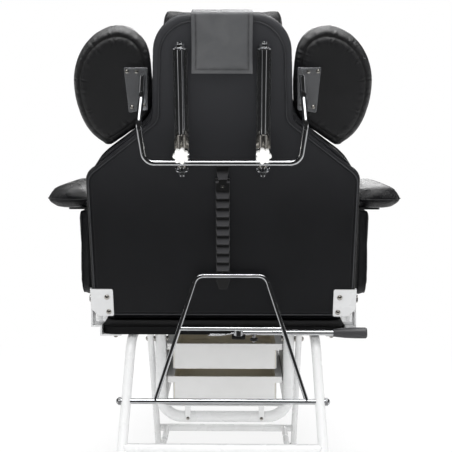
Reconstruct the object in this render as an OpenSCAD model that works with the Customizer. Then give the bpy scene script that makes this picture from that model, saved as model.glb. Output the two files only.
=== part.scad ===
// Threading chair: reclining salon chair with a toothed rack, arm pads beside the head and two trays.
// The origin is on the floor under the middle of the chair; +Y points to the leg rest, +Z up.

/* [Back] */
// Height of the backrest hinge above the floor
hinge_h = 573; // [540:1:600]
// Lean of the back from upright in its highest notch
lean = 13; // [10:0.5:16]
// Width of the back below the shoulders
back_w = 593; // [560:1:620]
// Length of the back from its lower edge to its top edge
back_len = 675; // [640:1:710]
// Thickness of the back, board and foam together
back_t = 75; // [60:1:85]
// Thickness of the board with its rear cover
back_board_t = 18; // [12:1:24]
// How far the board's shoulder corners lie below the foam's
board_drop = 20; // [10:1:30]
// Radius of the board's corners at the shoulders and below the head part
board_bend_r = 32; // [20:1:45]
// Width of the head part of the back
head_w = 286; // [260:1:310]
// Distance from the lower edge to the corner where the head part begins
neck_rise = 460; // [440:1:500]
// Distance from the lower edge to the corner of the shoulders
shoulder_rise = 358; // [330:1:390]
// Radius of the shoulders
shoulder_r = 130; // [100:1:150]
// Radius between shoulder and head part
neck_r = 60; // [40:1:70]
// How much further out the corner below the head part is, on each side
neck_spread = 6; // [4:0.5:9]
// Radius of the head part's top corners
head_r = 78; // [50:1:100]
// Radius of the back's lower corners
back_corner_r = 14; // [8:1:24]
// Distance of the hinge from the back's rear face
hinge_inset = 46; // [40:1:52]
// Distance of the hinge above the back's lower edge
hinge_rise = 26; // [22:1:32]

/* [Seat] */
// How much narrower the seat is than the back, on each side
seat_inset = 16.5; // [12:0.5:24]
// Height of the underside of the seat board above the floor
seat_bottom = 493; // [475:1:505]
// Thickness of the covered seat board
seat_board_t = 18; // [15:1:22]
// Height of the seat's upper surface above the floor
seat_top = 600; // [580:1:620]
// Distance from the hinge back to the rear edge of the seat board
seat_rear = 24; // [15:1:35]
// Distance from the hinge forward to the front edge of the seat
seat_front = 486; // [440:1:520]
// Distance from the hinge forward to the rear edge of the seat cushion
cushion_rear = 42; // [38:1:60]
// Radius of the seat's corners seen from above
seat_corner_r = 30; // [15:1:50]
// Height of the crown on the cushions
crown = 10; // [4:1:16]
// Depth of the sewn channels
channel_dip = 6; // [2:0.5:9]

/* [Leg rest] */
// Length of the leg rest
leg_rest_len = 420; // [360:1:480]
// Width of the leg rest at its free end
leg_rest_w = 460; // [400:1:520]
// Height of the leg rest's hinge above the seat board's underside
leg_hinge_rise = 5; // [3:0.5:8]
// Distance from the seat's front edge to the leg rest's hinge
leg_hinge_gap = 10; // [9:1:14]
// Diameter of the leg rest's hinge pins
leg_pin_d = 10; // [8:1:12]
// Diameter of the brake drum on the hinge tube
drum_d = 30; // [26:1:34]

/* [Frame] */
// Diameter of the rear legs and the seat rails
leg_d = 22; // [20:1:26]
// Wall of the frame tubes
tube_wall = 1.5; // [1.2:0.1:2.5]
// Half of the distance between the seat rails
rail_x = 212; // [195:1:220]
// Half of the distance between the rear feet
rear_foot_x = 231; // [215:1:250]
// Distance from the hinge back to the rear feet
rear_foot_y = 303; // [270:1:330]
// Bend radius at the top of the rear legs
leg_bend_r = 60; // [40:1:80]
// Distance from the hinge forward to the front feet
front_foot_y = 476; // [440:1:510]
// Half of the distance between the front feet
front_foot_x = 196; // [186:1:204]
// Half of the distance between the front legs at the hanger bolts
front_leg_x = 190; // [186:1:194]
// Thickness of the oval front legs, seen from behind
oval_t = 15; // [12:1:18]
// Depth of the oval front legs, seen from the side
oval_w = 30; // [24:1:36]
// Distance from the hinge forward to the hanger bolts
bolt_y = 205; // [190:1:220]
// Distance from the seat board's underside down to the hanger bolts
bolt_drop = 68; // [55:1:80]
// Height of the upper rear cross tube
rear_cross_h = 269; // [240:1:300]
// Height of the lower rear cross tube
low_cross_h = 122; // [100:1:150]
// Height of the front cross tube
front_cross_h = 116; // [90:1:140]
// Diameter of the cross tubes
cross_d = 20; // [16:1:22]
// Diameter of the two lengthwise stretchers
stretcher_d = 16; // [12:1:18]
// Half of the distance between the stretchers
stretcher_x = 166; // [150:1:175]
// Thickness of the rubber around the feet
cap_wall = 3; // [2:0.5:5]
// Height of the rubber feet along the leg
cap_len = 34; // [24:1:45]

/* [Prop and rack] */
// Diameter of the chromed prop
prop_d = 10; // [8:0.5:11]
// Diameter of the rod that the prop is welded to
axle_d = 12; // [11:0.5:14]
// Height of the prop's axle above the floor
axle_h = 358; // [340:1:375]
// Half of the prop's width at the axle
prop_foot_x = 170; // [150:1:180]
// Half of the prop's width at the top bar
prop_top_x = 77; // [60:1:90]
// Sideways place of the prop on its axle
prop_shift = 18; // [0:1:24]
// Bend radius of the prop's upper corners
prop_bend_r = 22; // [16:1:30]
// Height of the cross bar as a part of the prop's own height
prop_bar_share = 0.58; // [0.5:0.01:0.7]
// Width of the toothed rack
rack_w = 30; // [24:1:36]
// Distance from the back's lower edge to the rack's lower end
rack_low = 72; // [60:1:80]
// Distance from the back's lower edge to the rack's upper end
rack_high = 358; // [340:1:370]
// Thickness of the rack's base strip
rack_base_t = 5; // [3:0.5:7]
// Height of the teeth above the back's rear face
tooth_h = 11; // [9:0.5:11.5]
// Distance from the back's lower edge to the underside of the first tooth
tooth_low = 119.4; // [117:0.1:121]
// Distance from tooth to tooth
tooth_pitch = 21.2; // [18:0.1:24]
// Number of teeth
tooth_count = 9; // [7:1:9]
// Distance from the back's lower edge to the bar in its lowest notch
notch_rise = 107; // [104:0.5:110]

/* [Head frame] */
// Half of the distance between the two guide channels
guide_x = 85.5; // [78:0.5:92]
// Width of the guide channels
channel_w = 30; // [26:1:36]
// Distance from the back's lower edge to the channels' lower end
channel_low = 353; // [340:1:360]
// Length of the channels
channel_len = 258; // [240:1:275]
// Thickness of the channels' sheet metal
channel_wall = 2.5; // [2:0.5:3]
// Distance of the guide rods from the back's rear face
guide_out = 20; // [18:0.5:24]
// Diameter of the guide rods
guide_d = 12; // [10:0.5:12]
// Outside diameter of the slider sleeves
sleeve_d = 19; // [18:0.5:20]
// Length of the slider sleeves
sleeve_len = 70; // [60:1:80]
// Diameter of the bent frame rod
frame_rod_d = 12; // [10:0.5:14]
// Distance of the frame rod from the back's rear face
frame_rod_out = 36; // [34:0.5:42]
// Distance from the back's lower edge to the level frame rod
frame_rod_rise = 374; // [372:1:380]
// Half of the frame rod's width at its lower corners
frame_rod_x = 163; // [158:1:170]
// Bend radius of the frame rod's lower corners
frame_bend_r = 24; // [20:1:30]
// Diameter of the star knobs
knob_d = 33; // [28:1:40]
// Distance of the star knobs above the level frame rod
knob_rise = 20; // [17:1:26]
// Gap between the head part and the side pads
pad_gap = 8; // [5:0.5:12]
// Gap between the shoulders and the side pads
shoulder_gap = 3; // [2:0.5:6]
// Width of the side pads
pad_w = 164; // [150:1:180]
// Height of the side pads
pad_len = 253; // [240:1:265]
// Distance from the back's lower edge to the side pads' lower end
pad_low = 398; // [390:1:404]
// Thickness of the side pads
pad_t = 55; // [45:1:65]
// Distance of the side pads' rear faces in front of the back's rear face
pad_back_y = 21; // [18:0.5:26]

/* [Pillow] */
// Width of the head pillow
pillow_w = 260; // [220:1:270]
// Height of the head pillow
pillow_len = 190; // [160:1:220]
// Thickness of the head pillow
pillow_t = 62; // [45:1:75]
// Distance of the pillow's top below the top of the back
pillow_drop = 5; // [3:0.5:12]
// Width of the pillow's flap
flap_w = 126; // [110:1:140]
// Length of the flap behind the back
flap_len = 118; // [110:1:150]
// Thickness of the flap
flap_t = 4; // [3:0.5:6]
// Angle at which the flap hangs away from the back
flap_swing = 9; // [0:0.5:13]

/* [Armrests] */
// Distance from the back's side to the outer edge of an armrest pad
arm_reach = 118.5; // [110:0.5:130]
// Width of an armrest pad
arm_pad_w = 108; // [96:1:112]
// Length of an armrest pad
arm_pad_len = 300; // [260:1:330]
// Thickness of an armrest pad
arm_pad_t = 56; // [44:1:64]
// Height of the armrest pads' underside above the floor
arm_pad_bottom = 778; // [750:1:800]
// Distance from the hinge forward to the rear end of the armrest pads
arm_pad_rear = 16; // [10:1:30]
// Gap between the back's side and a side panel
panel_gap = 19.5; // [17.5:0.5:25]
// Thickness of the side panels
panel_t = 26; // [20:1:30]
// Distance from the hinge forward to the rear edge of the side panels
panel_rear = 50; // [44:1:60]
// Length of the side panels
panel_len = 270; // [240:1:300]
// Height of the side panels' lower edge above the floor
panel_bottom = 566; // [550:1:580]
// Radius of the side panels' lower corners
panel_r = 42; // [25:1:60]
// Diameter of the armrest posts
post_d = 12; // [10:1:13]
// Distance of the posts from the back's side
post_gap = 7.5; // [6:0.5:8.5]
// Outside diameter of the post sockets
socket_d = 18; // [17:0.5:19]
// How far an armrest lifts while its posts stay in their sockets
arm_lift = 45; // [30:1:50]

/* [Trays] */
// Width over the tray rims
tray_w = 298; // [280:1:298]
// Width of the tray bodies
tray_body_w = 268; // [250:1:272]
// Height of a tray
tray_h = 66; // [50:1:70]
// Length of a tray
tray_len = 290; // [250:1:300]
// Height of the tray rim
rim_h = 16; // [10:1:18]
// Wall of the trays
tray_wall = 3; // [2:0.5:4]
// Height of the upper tray's rim above the floor
upper_tray_top = 412; // [405:1:420]
// Distance from the upper tray's rim down to the lower tray's rim
tray_step = 87; // [80:1:95]
// How far the trays pull out towards the head end
tray_pull = 200; // [150:1:220]
// Diameter of the bent hanger tube
hanger_d = 28; // [24:1:28]
// Half of the distance between the hanger's uprights
hanger_x = 164.5; // [164.5:0.5:166]
// Height of the hanger's level tube
hanger_h = 218; // [205:1:228]
// Bend radius of the hanger
hanger_bend_r = 55; // [45:1:65]

/* [Release lever] */
// Diameter of the lever rod
lever_d = 11.5; // [10:0.5:13]
// Height of the lever rod above the seat board's underside
lever_rise = 10; // [8:0.5:14]
// Distance of the lever behind the seat board
lever_out = 20; // [18:0.5:24]
// Sideways place of the lever's pivot
lever_x = 35; // [25:1:45]
// Distance from the middle of the chair to the grip
grip_start = 250; // [230:1:260]
// Length of the grip
grip_len = 76; // [60:1:90]
// Diameter of the grip at its free end
grip_d = 25; // [20:1:28]
// Diameter of the lever's pivot pin
lever_pin_d = 8; // [6:1:9]
// Diameter of the release rod
release_d = 6; // [5:0.5:7]
// Sideways distance from the lever's pivot to the release rod
release_arm = 35; // [30:1:40]

/* [Hidden] */
$fn = 48;
// Overrun of every cut
over = 1;
// Gap between soft parts and their neighbours
soft_gap = 0.3;
// Radial clearance of pins that turn or slide in their holes
fit = 0.08;
// How much thicker a tube is round its bends, so that the straight runs end inside them
swell = 0.1;
// Turn of a rod's seam about its own axis
seam_turn = 37;
// Sides of the rings of soft forms, and where rings lie along a rounded edge
ring_sides = 24;
edge_shares = [0.01, 0.08, 0.25, 0.5, 0.78];
arc_steps = 10;

function unit(v) = v / norm(v);
function spow(v, p) = sign(v) * pow(abs(v), p);
function eased(d, r) = d >= r ? 1 : sqrt(max(0, 1 - pow((r - d) / r, 2)));
function gap_to_end(s, length) = min(s, length - s);
function dip(s, at, w) = exp(-pow((s - at) / w, 2));
function along(a, b, share) = a + (b - a) * share;

// Outline from corners [x, y, radius], each arc in short steps
function corner_arc(a, b, c, r) = let(
    u = unit(b - a), w = unit(c - b), turn = acos(max(-1, min(1, u * w))),
    t = r * tan(turn / 2), side = sign(u[0] * w[1] - u[1] * w[0]),
    start = b - u * t, centre = start + side * r * [-u[1], u[0]])
    turn == 0 || r == 0 ? [b] :
    [for (i = [0 : arc_steps]) let(q = side * turn * i / arc_steps, d = start - centre)
        centre + [d[0] * cos(q) - d[1] * sin(q), d[0] * sin(q) + d[1] * cos(q)]];
function rounded(corners) = [for (i = [0 : len(corners) - 1]) let(
    n = len(corners), a = corners[(i + n - 1) % n], b = corners[i], c = corners[(i + 1) % n])
    each corner_arc([a[0], a[1]], [b[0], b[1]], [c[0], c[1]], b[2])];

// Straight rod between two points
module rod(a, b, d) {
    v = b - a;
    translate(a) rotate([0, acos(v[2] / norm(v)), atan2(v[1], v[0])]) rotate(seam_turn)
        cylinder(d = d, h = norm(v));
}

// Part of a ring that joins two straight runs
module elbow(a, b, c, r, d) {
    u = unit(b - a);
    w = unit(c - b);
    turn = acos(u * w);
    n = unit(w - (w * u) * u);
    axis = unit(cross(u, w));
    centre = b - u * r * tan(turn / 2) + n * r;
    multmatrix([
        [-n[0], u[0], axis[0], centre[0]],
        [-n[1], u[1], axis[1], centre[1]],
        [-n[2], u[2], axis[2], centre[2]],
        [0, 0, 0, 1]])
        rotate_extrude(angle = turn) translate([r, 0]) circle(d = d);
}

// Length that a run gives up at a corner of its path, less the part that ends inside the bend
function bend_trim(pts, i, r) = i == 0 || i == len(pts) - 1 ? 0 :
    r * tan(acos(unit(pts[i] - pts[i - 1]) * unit(pts[i + 1] - pts[i])) / 2) - sqrt(r * swell);

// Rod bent round the corners of a path
module bent_rod(pts, r, d) {
    for (i = [0 : len(pts) - 2]) {
        u = unit(pts[i + 1] - pts[i]);
        rod(pts[i] + u * bend_trim(pts, i, r), pts[i + 1] - u * bend_trim(pts, i + 1, r), d);
    }
    for (i = [1 : len(pts) - 2]) elbow(pts[i - 1], pts[i], pts[i + 1], r, d + 2 * swell);
}

// Tube: a bent rod with its bore, open at both ends
module bent_tube(pts, r, d, wall) {
    last = len(pts) - 1;
    inner = [for (i = [0 : last])
        i == 0 ? pts[0] - unit(pts[1] - pts[0]) * over :
        i == last ? pts[last] + unit(pts[last] - pts[last - 1]) * over : pts[i]];
    difference() {
        bent_rod(pts, r, d);
        bent_rod(inner, r, d - 2 * wall);
    }
}

// Places of rings along a soft part, close together at its two ends
function stations(length, edge, count) = concat(
    [for (k = edge_shares) k * edge],
    [for (i = [0 : count]) edge + (length - 2 * edge) * i / count],
    [for (i = [len(edge_shares) - 1 : -1 : 0]) length - edge_shares[i] * edge]);

// Soft form lofted through rows of [place, middle, half width, seam height, rise above, drop below]
module soft_loft(rows, side_power, top_power, low_power) {
    pts = [for (r = rows) for (i = [0 : ring_sides - 1]) let(
        a = 360 * i / ring_sides, c = cos(a), q = sin(a))
        [r[1] + r[2] * spow(c, side_power), r[0],
            r[3] + (q >= 0 ? r[4] * spow(q, top_power) : r[5] * spow(q, low_power))]];
    n = ring_sides;
    last = (len(rows) - 1) * n;
    walls = [for (j = [0 : len(rows) - 2]) for (i = [0 : n - 1]) let(
        a = j * n + i, b = j * n + (i + 1) % n)
        each [[a, b, b + n], [a, b + n, a + n]]];
    ends = [for (i = [1 : n - 2]) each [[0, i + 1, i], [last, last + i, last + i + 1]]];
    polyhedron(points = pts, faces = concat(walls, ends), convexity = 4);
}

// Turns a form drawn flat upright: its length points up and its thickness forward
module stand_up() rotate([90, 0, 180]) children();

// The back's own frame: rear face at y = 0, lower edge at z = 0
module on_back() translate([0, 0, hinge_h]) rotate([lean, 0, 0]) translate([0, -hinge_inset, -hinge_rise])
    children();
function back_point(p) = let(y = p[1] - hinge_inset, z = p[2] - hinge_rise)
    [p[0], y * cos(lean) - z * sin(lean), hinge_h + y * sin(lean) + z * cos(lean)];
module both_sides() {
    children();
    mirror([1, 0, 0]) children();
}
module left() mirror([1, 0, 0]) children();
// Stands a form drawn along +z on the back's rear face, pointing backwards
module backwards() rotate([90, 0, 0]) children();

// Screw with a domed head that stands on z = 0, its shank pointing down
module dome_screw(head_d, shank_d, shank_len) {
    cylinder(d = head_d, h = head_d * 0.12);
    intersection() {
        cylinder(d = head_d * 0.82, h = head_d * 0.46);
        translate([0, 0, -head_d * 0.06]) sphere(d = head_d);
    }
    translate([0, 0, -shank_len]) cylinder(d = shank_d, h = shank_len);
}
module hex_nut(d, h) cylinder(d = 1.85 * d, h = h, $fn = 6);

// Frame
seat_w = back_w - 2 * seat_inset;
rail_h = seat_bottom - leg_d / 2;
bolt_h = seat_bottom - bolt_drop;
rear_foot = [rear_foot_x, -rear_foot_y, 0];
rear_knee = [rail_x, -seat_rear, rail_h];
rear_axis = unit(rear_knee - rear_foot);
function rear_leg_at(h) = along(rear_foot, rear_knee, h / rail_h);
rail_start = -seat_rear + leg_bend_r * tan(acos(rear_axis[1]) / 2) + leg_d / 2;
rail_end = seat_front - leg_d;
front_foot = [front_foot_x, front_foot_y, 0];
front_bolt = [front_leg_x, bolt_y, bolt_h];
front_axis = unit(front_bolt - front_foot);
function front_leg_at(h) = along(front_foot, front_bolt, h / bolt_h);
cap_floor = 4;
function end_rise(d, axis) = cap_floor + d / 2 * norm([axis[0], axis[1]]);
leg_low = rear_leg_at(end_rise(leg_d, rear_axis));
leg_hinge_y = seat_front + leg_hinge_gap;
leg_hinge_h = seat_bottom + leg_hinge_rise;
lug_t = 6;
lug_x = rail_x - leg_d / 2 - lug_t + tube_wall * 0.8;
lug_d = 2.2 * leg_pin_d;
axle_at = rear_leg_at(axle_h);
bolt_d = 8;

module rear_leg() color("white") difference() {
    bent_tube([leg_low, rear_knee, [rail_x, rail_start, rail_h]], leg_bend_r, leg_d, tube_wall);
    translate([axle_at[0] - leg_d, axle_at[1], axle_h]) rotate([0, 90, 0])
        cylinder(d = axle_d + 2 * fit, h = 2 * leg_d);
}
module rear_leg_left() left() rear_leg();
module rear_leg_right() rear_leg();

// The rail carries a lug of the leg rest's hinge at its front end
module seat_rail() color("white") {
    difference() {
        rod([rail_x, rail_start, rail_h], [rail_x, rail_end, rail_h], leg_d);
        rod([rail_x, rail_start - over, rail_h], [rail_x, rail_end + over, rail_h], leg_d - 2 * tube_wall);
    }
    translate([lug_x, 0, 0]) rotate([90, 0, 90]) linear_extrude(lug_t) difference() {
        union() {
            translate([leg_hinge_y, leg_hinge_h]) circle(d = lug_d);
            polygon([
                [rail_end - 2 * leg_d, rail_h - leg_d / 4], [rail_end, rail_h - leg_d / 4],
                [leg_hinge_y, leg_hinge_h - lug_d / 2], [leg_hinge_y, seat_bottom - soft_gap],
                [rail_end - 2 * leg_d, seat_bottom - soft_gap]]);
        }
        translate([leg_hinge_y, leg_hinge_h]) circle(d = leg_pin_d + 2 * fit);
        translate([seat_front - lug_d, seat_bottom - soft_gap]) square([lug_d + 2 * soft_gap, lug_d]);
    }
}
module seat_rail_left() left() seat_rail();
module seat_rail_right() seat_rail();

// Oval front legs, their flat sides to the left and right
module oval(t, w) {
    square([t, w - t], center = true);
    for (s = [-1, 1]) translate([0, s * (w - t) / 2]) circle(d = t);
}
module front_oval(t, w, low, high) translate(front_foot) rotate([-atan2(front_axis[1], front_axis[2]), 0, 0])
    rotate([0, asin(front_axis[0]), 0]) translate([0, 0, low]) linear_extrude(high - low) oval(t, w);
front_low = end_rise(oval_w, front_axis) / front_axis[2];
front_high = (seat_bottom + oval_w) / front_axis[2];
module front_leg() color("white") {
    top = front_leg_at(rail_h);
    plate_x = top[0] + oval_t / 2 - tube_wall * 0.8;
    difference() {
        front_oval(oval_t, oval_w, front_low, front_high);
        front_oval(oval_t - 2 * tube_wall, oval_w - 2 * tube_wall, front_low - over, front_high + over);
        translate([0, -back_w, seat_bottom]) cube([back_w, 2 * back_w, back_w]);
        translate([front_bolt[0] - oval_w, bolt_y, bolt_h]) rotate([0, 90, 0])
            cylinder(d = bolt_d + 2 * fit, h = 2 * oval_w);
    }
    // weld plate that joins the leg's top to the rail
    difference() {
        translate([plate_x, top[1] - oval_w * 0.7, rail_h - leg_d * 0.9])
            cube([rail_x - leg_d * 0.3 - plate_x, oval_w * 1.4, leg_d * 1.35]);
        rod([rail_x, top[1] - 2 * oval_w, rail_h], [rail_x, top[1] + 2 * oval_w, rail_h], leg_d);
    }
}
module front_leg_left() left() front_leg();
module front_leg_right() front_leg();

// Straight tube between two legs, its ends cut to the roundness of what it meets
module cross_tube(a, b, d) difference() {
    rod(a, b, d);
    rod(along(a, b, -0.01), along(a, b, 1.01), d - 2 * tube_wall);
    children();
}
module rear_cross_tubes() color("white") for (h = [rear_cross_h, low_cross_h]) {
    end = rear_leg_at(h);
    cross_tube([-end[0], end[1], h], end, cross_d) both_sides() rod(rear_foot, rear_knee, leg_d);
}
front_cross_at = front_leg_at(front_cross_h);
low_cross_at = rear_leg_at(low_cross_h);
module front_cross_tube() color("white")
    cross_tube([-front_cross_at[0], front_cross_at[1], front_cross_h], front_cross_at, cross_d)
        both_sides() front_oval(oval_t, oval_w, 0, bolt_h);
module stretchers() color("white") for (x = [-stretcher_x, stretcher_x])
    cross_tube([x, low_cross_at[1], low_cross_h], [x, front_cross_at[1], front_cross_h], stretcher_d) {
        rod([-rail_x, low_cross_at[1], low_cross_h], [rail_x, low_cross_at[1], low_cross_h], cross_d);
        rod([-rail_x, front_cross_at[1], front_cross_h], [rail_x, front_cross_at[1], front_cross_h], cross_d);
    }
seat_cross_y = seat_front - 4 * leg_d;
module seat_cross_tube() color("white") difference() {
    cross_tube([-rail_x, seat_cross_y, rail_h], [rail_x, seat_cross_y, rail_h], cross_d)
        both_sides() rod([rail_x, 0, rail_h], [rail_x, seat_front, rail_h], leg_d);
    translate([release_x, seat_cross_y - cross_d, release_h]) rotate([-90, 0, 0])
        cylinder(d = release_d + 2 * fit, h = 2 * cross_d);
}

// Rubber feet: a sleeve round each leg end, cut level at the floor
module floor_cut() translate([-back_w, -back_w, -back_w]) cube([2 * back_w, 2 * back_w, back_w]);
module foot_caps() color("gray") {
    both_sides() difference() {
        rod(leg_low - rear_axis * leg_d, leg_low + rear_axis * cap_len, leg_d + 2 * cap_wall);
        floor_cut();
        rod(leg_low, leg_low + rear_axis * 2 * cap_len, leg_d);
    }
    both_sides() difference() {
        front_oval(oval_t + 2 * cap_wall, oval_w + 2 * cap_wall, -oval_w, front_low + cap_len);
        floor_cut();
        front_oval(oval_t, oval_w, front_low, front_low + 2 * cap_len);
    }
}

// Bolts of the tray hanger with spacers and nuts, and the screws of its bracket and of the seat hinges
leg_out = front_bolt[0] + oval_t / 2;
module frame_bolts() color("silver") both_sides() {
    translate([leg_out, bolt_y, bolt_h]) rotate([0, 90, 0])
        dome_screw(1.7 * bolt_d, bolt_d, leg_out - hanger_x + hanger_d / 2);
    translate([hanger_x + hanger_d / 2, bolt_y, bolt_h]) rotate([0, 90, 0])
        cylinder(d = 1.7 * bolt_d, h = leg_out - oval_t - hanger_x - hanger_d / 2);
    translate([hanger_x - hanger_d / 2, bolt_y, bolt_h]) rotate([0, -90, 0]) hex_nut(bolt_d, 0.7 * bolt_d);
    translate([bracket_foot_x, bolt_y - hanger_d / 2 - sheet_t, hanger_h]) rotate([90, 0, 0])
        dome_screw(bracket_screw_d * 2.2, bracket_screw_d, sheet_t);
    translate([seat_screw_x, seat_screw_y, seat_bottom - seat_hinge_t]) rotate([180, 0, 0])
        dome_screw(2.2 * seat_screw_d, seat_screw_d, seat_hinge_t);
}

// Tray hanger: a tube bent into a U and bolted to the front legs
hanger_path = [[hanger_x, bolt_y, seat_bottom], [hanger_x, bolt_y, hanger_h],
    [-hanger_x, bolt_y, hanger_h], [-hanger_x, bolt_y, seat_bottom]];
module tray_hanger() color("white") difference() {
    bent_tube(hanger_path, hanger_bend_r, hanger_d, tube_wall);
    translate([-hanger_x - hanger_d, bolt_y, bolt_h]) rotate([0, 90, 0])
        cylinder(d = bolt_d + 2 * fit, h = 2 * hanger_x + 2 * hanger_d);
}
module hanger_form() bent_rod(hanger_path, hanger_bend_r, hanger_d);

// Sheet bracket on the hanger's level tube that carries the tray runners
sheet_t = 2;
bracket_foot_x = 95;
bracket_foot_w = 14;
bracket_screw_d = 4;
lower_tray_top = upper_tray_top - tray_step;
runner_x = tray_w / 2 + sheet_t;
bracket_h = lower_tray_top - tray_h - soft_gap - 4 * sheet_t;
bracket_y = bolt_y - hanger_d / 2 - sheet_t;
module tray_bracket() color("white") difference() {
    union() {
        translate([-runner_x - sheet_t, bracket_y, bracket_h])
            cube([2 * runner_x + 2 * sheet_t, 2 * hanger_d, sheet_t]);
        both_sides() translate([bracket_foot_x - bracket_foot_w / 2, bracket_y, hanger_h - bracket_foot_w / 2])
            cube([bracket_foot_w, sheet_t, bracket_h - hanger_h + bracket_foot_w / 2]);
    }
    hanger_form();
    both_sides() translate([bracket_foot_x, bracket_y - over, hanger_h]) rotate([-90, 0, 0])
        cylinder(d = bracket_screw_d, h = hanger_d);
}

// Side sheets with two ledges under the tray rims, welded to the hanger and held off the front legs
ledge_x = tray_body_w / 2 + sheet_t;
runner_len = tray_len - hanger_d;
stud_h = lower_tray_top;
module tray_runner() color("white") {
    stud_at = front_leg_at(stud_h);
    difference() {
        translate([runner_x, bolt_y, bracket_h + sheet_t])
            cube([sheet_t, runner_len, upper_tray_top - bracket_h - sheet_t]);
        hanger_form();
    }
    for (top = [upper_tray_top, lower_tray_top])
        translate([ledge_x, bolt_y + hanger_d / 2 + sheet_t, top - rim_h - soft_gap - sheet_t])
            cube([runner_x - ledge_x, runner_len - hanger_d / 2 - sheet_t, sheet_t]);
    // stud between the sheet and the front leg
    difference() {
        translate([runner_x + sheet_t, stud_at[1], stud_h]) rotate([0, 90, 0])
            cylinder(d = 2 * bolt_d, h = stud_at[0] - runner_x - sheet_t);
        front_oval(oval_t, oval_w, 0, front_high);
    }
}
module tray_runner_left() left() tray_runner();
module tray_runner_right() tray_runner();

// Trays with a rounded body and a folded rim that slides on the ledges
tray_r = 10;
module round_box(w, l, h, r) translate([0, l / 2, 0]) linear_extrude(h) {
    square([w - 2 * r, l], center = true);
    square([w, l - 2 * r], center = true);
    for (x = [-1, 1], y = [-1, 1]) translate([x * (w / 2 - r), y * (l / 2 - r)]) circle(r = r);
}
module tray(top) color("whitesmoke") translate([0, bolt_y - sheet_t, top - tray_h]) difference() {
    union() {
        round_box(tray_body_w, tray_len, tray_h, tray_r);
        translate([0, 0, tray_h - rim_h]) round_box(tray_w, tray_len, rim_h, tray_r / 2);
    }
    translate([0, tray_wall, tray_wall])
        round_box(tray_body_w - 2 * tray_wall, tray_len - 2 * tray_wall, tray_h, tray_r - tray_wall);
    both_sides() translate([tray_body_w / 2, tray_wall, tray_h - rim_h - over])
        cube([(tray_w - tray_body_w) / 2 - tray_wall, tray_len - 2 * tray_wall, rim_h - tray_wall + over]);
}
module upper_tray() tray(upper_tray_top);
module lower_tray() tray(lower_tray_top);

// Seat board, cut out round the leg rest's brake drum
lever_h = seat_bottom + lever_rise;
release_x = lever_x + release_arm;
release_h = seat_bottom - release_d;
drum_w = 0.6 * drum_d;
module seat_board() color([0.1, 0.1, 0.1]) difference() {
    translate([0, -seat_rear, seat_bottom])
        round_box(seat_w, seat_front + seat_rear, seat_board_t, seat_corner_r);
    translate([release_x - drum_w, leg_hinge_y - drum_d * 0.6, seat_bottom - over])
        cube([2 * drum_w, drum_d, seat_board_t + 2 * over]);
}

// Cushions: crowned on top, drawn in at the sides, with two sewn channels across
seam_h = 14;
edge_roll = 34;
draw_in = 4;
channel_shares = [0.34, 0.67];
channel_w_share = 0.035;
low_share = 0.3;
function swell_up(s, length) = crown * sin(180 * s / length);
function pulled_in(s, length) = draw_in * sin(180 * s / length);
function channels(s, length) = channel_dip * (dip(s, channel_shares[0] * length, channel_w_share * length)
    + dip(s, channel_shares[1] * length, channel_w_share * length));
seat_soft_low = seat_bottom + seat_board_t + soft_gap;
seat_soft_t = seat_top - seat_soft_low;
seat_soft_len = seat_front - cushion_rear;
module seat_cushion() color([0.13, 0.13, 0.13]) translate([0, cushion_rear, seat_soft_low]) soft_loft(
    [for (s = stations(seat_soft_len, edge_roll, 15)) let(
        e = eased(gap_to_end(s, seat_soft_len), edge_roll),
        corner = seat_corner_r * (1 - eased(gap_to_end(s, seat_soft_len), seat_corner_r)))
        [s, 0, seat_w / 2 - corner - pulled_in(s, seat_soft_len), seam_h,
            (seat_soft_t - seam_h - crown - channels(s, seat_soft_len)) * e + swell_up(s, seat_soft_len),
            seam_h * max(e, low_share)]],
    0.16, 0.4, 0.12);

// Lower hinge plates: under the seat, up its side, and outwards past the back's own plates
seat_hinge_t = 4;
seat_hinge_w = 44;
seat_step_rise = 21;
seat_screw_d = 6;
back_side = back_w / 2;
back_hinge_t = 3;
pivot_d = 10;
seat_side = seat_w / 2 + soft_gap;
pivot_x = back_side + back_hinge_t + 4 * soft_gap;
seat_step_h = seat_bottom + seat_step_rise;
seat_hinge_y = -seat_hinge_w / 2;
seat_screw_x = seat_w / 2 - seat_hinge_w * 0.7;
seat_screw_y = seat_hinge_y + seat_hinge_w * 0.2;
module seat_hinge() color("white") difference() {
    union() {
        translate([seat_w / 2 - seat_hinge_w, seat_hinge_y, seat_bottom - seat_hinge_t])
            cube([seat_hinge_w + soft_gap + seat_hinge_t, seat_hinge_w, seat_hinge_t]);
        translate([seat_side, seat_hinge_y, seat_bottom - seat_hinge_t])
            cube([seat_hinge_t, seat_hinge_w, seat_step_rise + seat_hinge_t]);
        translate([seat_side, seat_hinge_y, seat_step_h - seat_hinge_t])
            cube([pivot_x + seat_hinge_t - seat_side, seat_hinge_w, seat_hinge_t]);
        translate([pivot_x, 0, 0]) rotate([90, 0, 90]) linear_extrude(seat_hinge_t) {
            polygon([[seat_hinge_y, seat_step_h - seat_hinge_t], [-seat_hinge_y, seat_step_h - seat_hinge_t],
                [-seat_hinge_y, seat_step_h], [1.3 * pivot_d, hinge_h], [-1.3 * pivot_d, hinge_h],
                [seat_hinge_y, seat_step_h]]);
            translate([0, hinge_h]) circle(d = 2.6 * pivot_d);
        }
    }
    translate([pivot_x - over, 0, hinge_h]) rotate([0, 90, 0]) cylinder(d = pivot_d, h = seat_hinge_t + 2 * over);
    translate([seat_screw_x, seat_screw_y, seat_bottom - seat_hinge_t - over])
        cylinder(d = seat_screw_d, h = seat_hinge_t + 2 * over);
}
module seat_hinge_left() left() seat_hinge();
module seat_hinge_right() seat_hinge();
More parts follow.
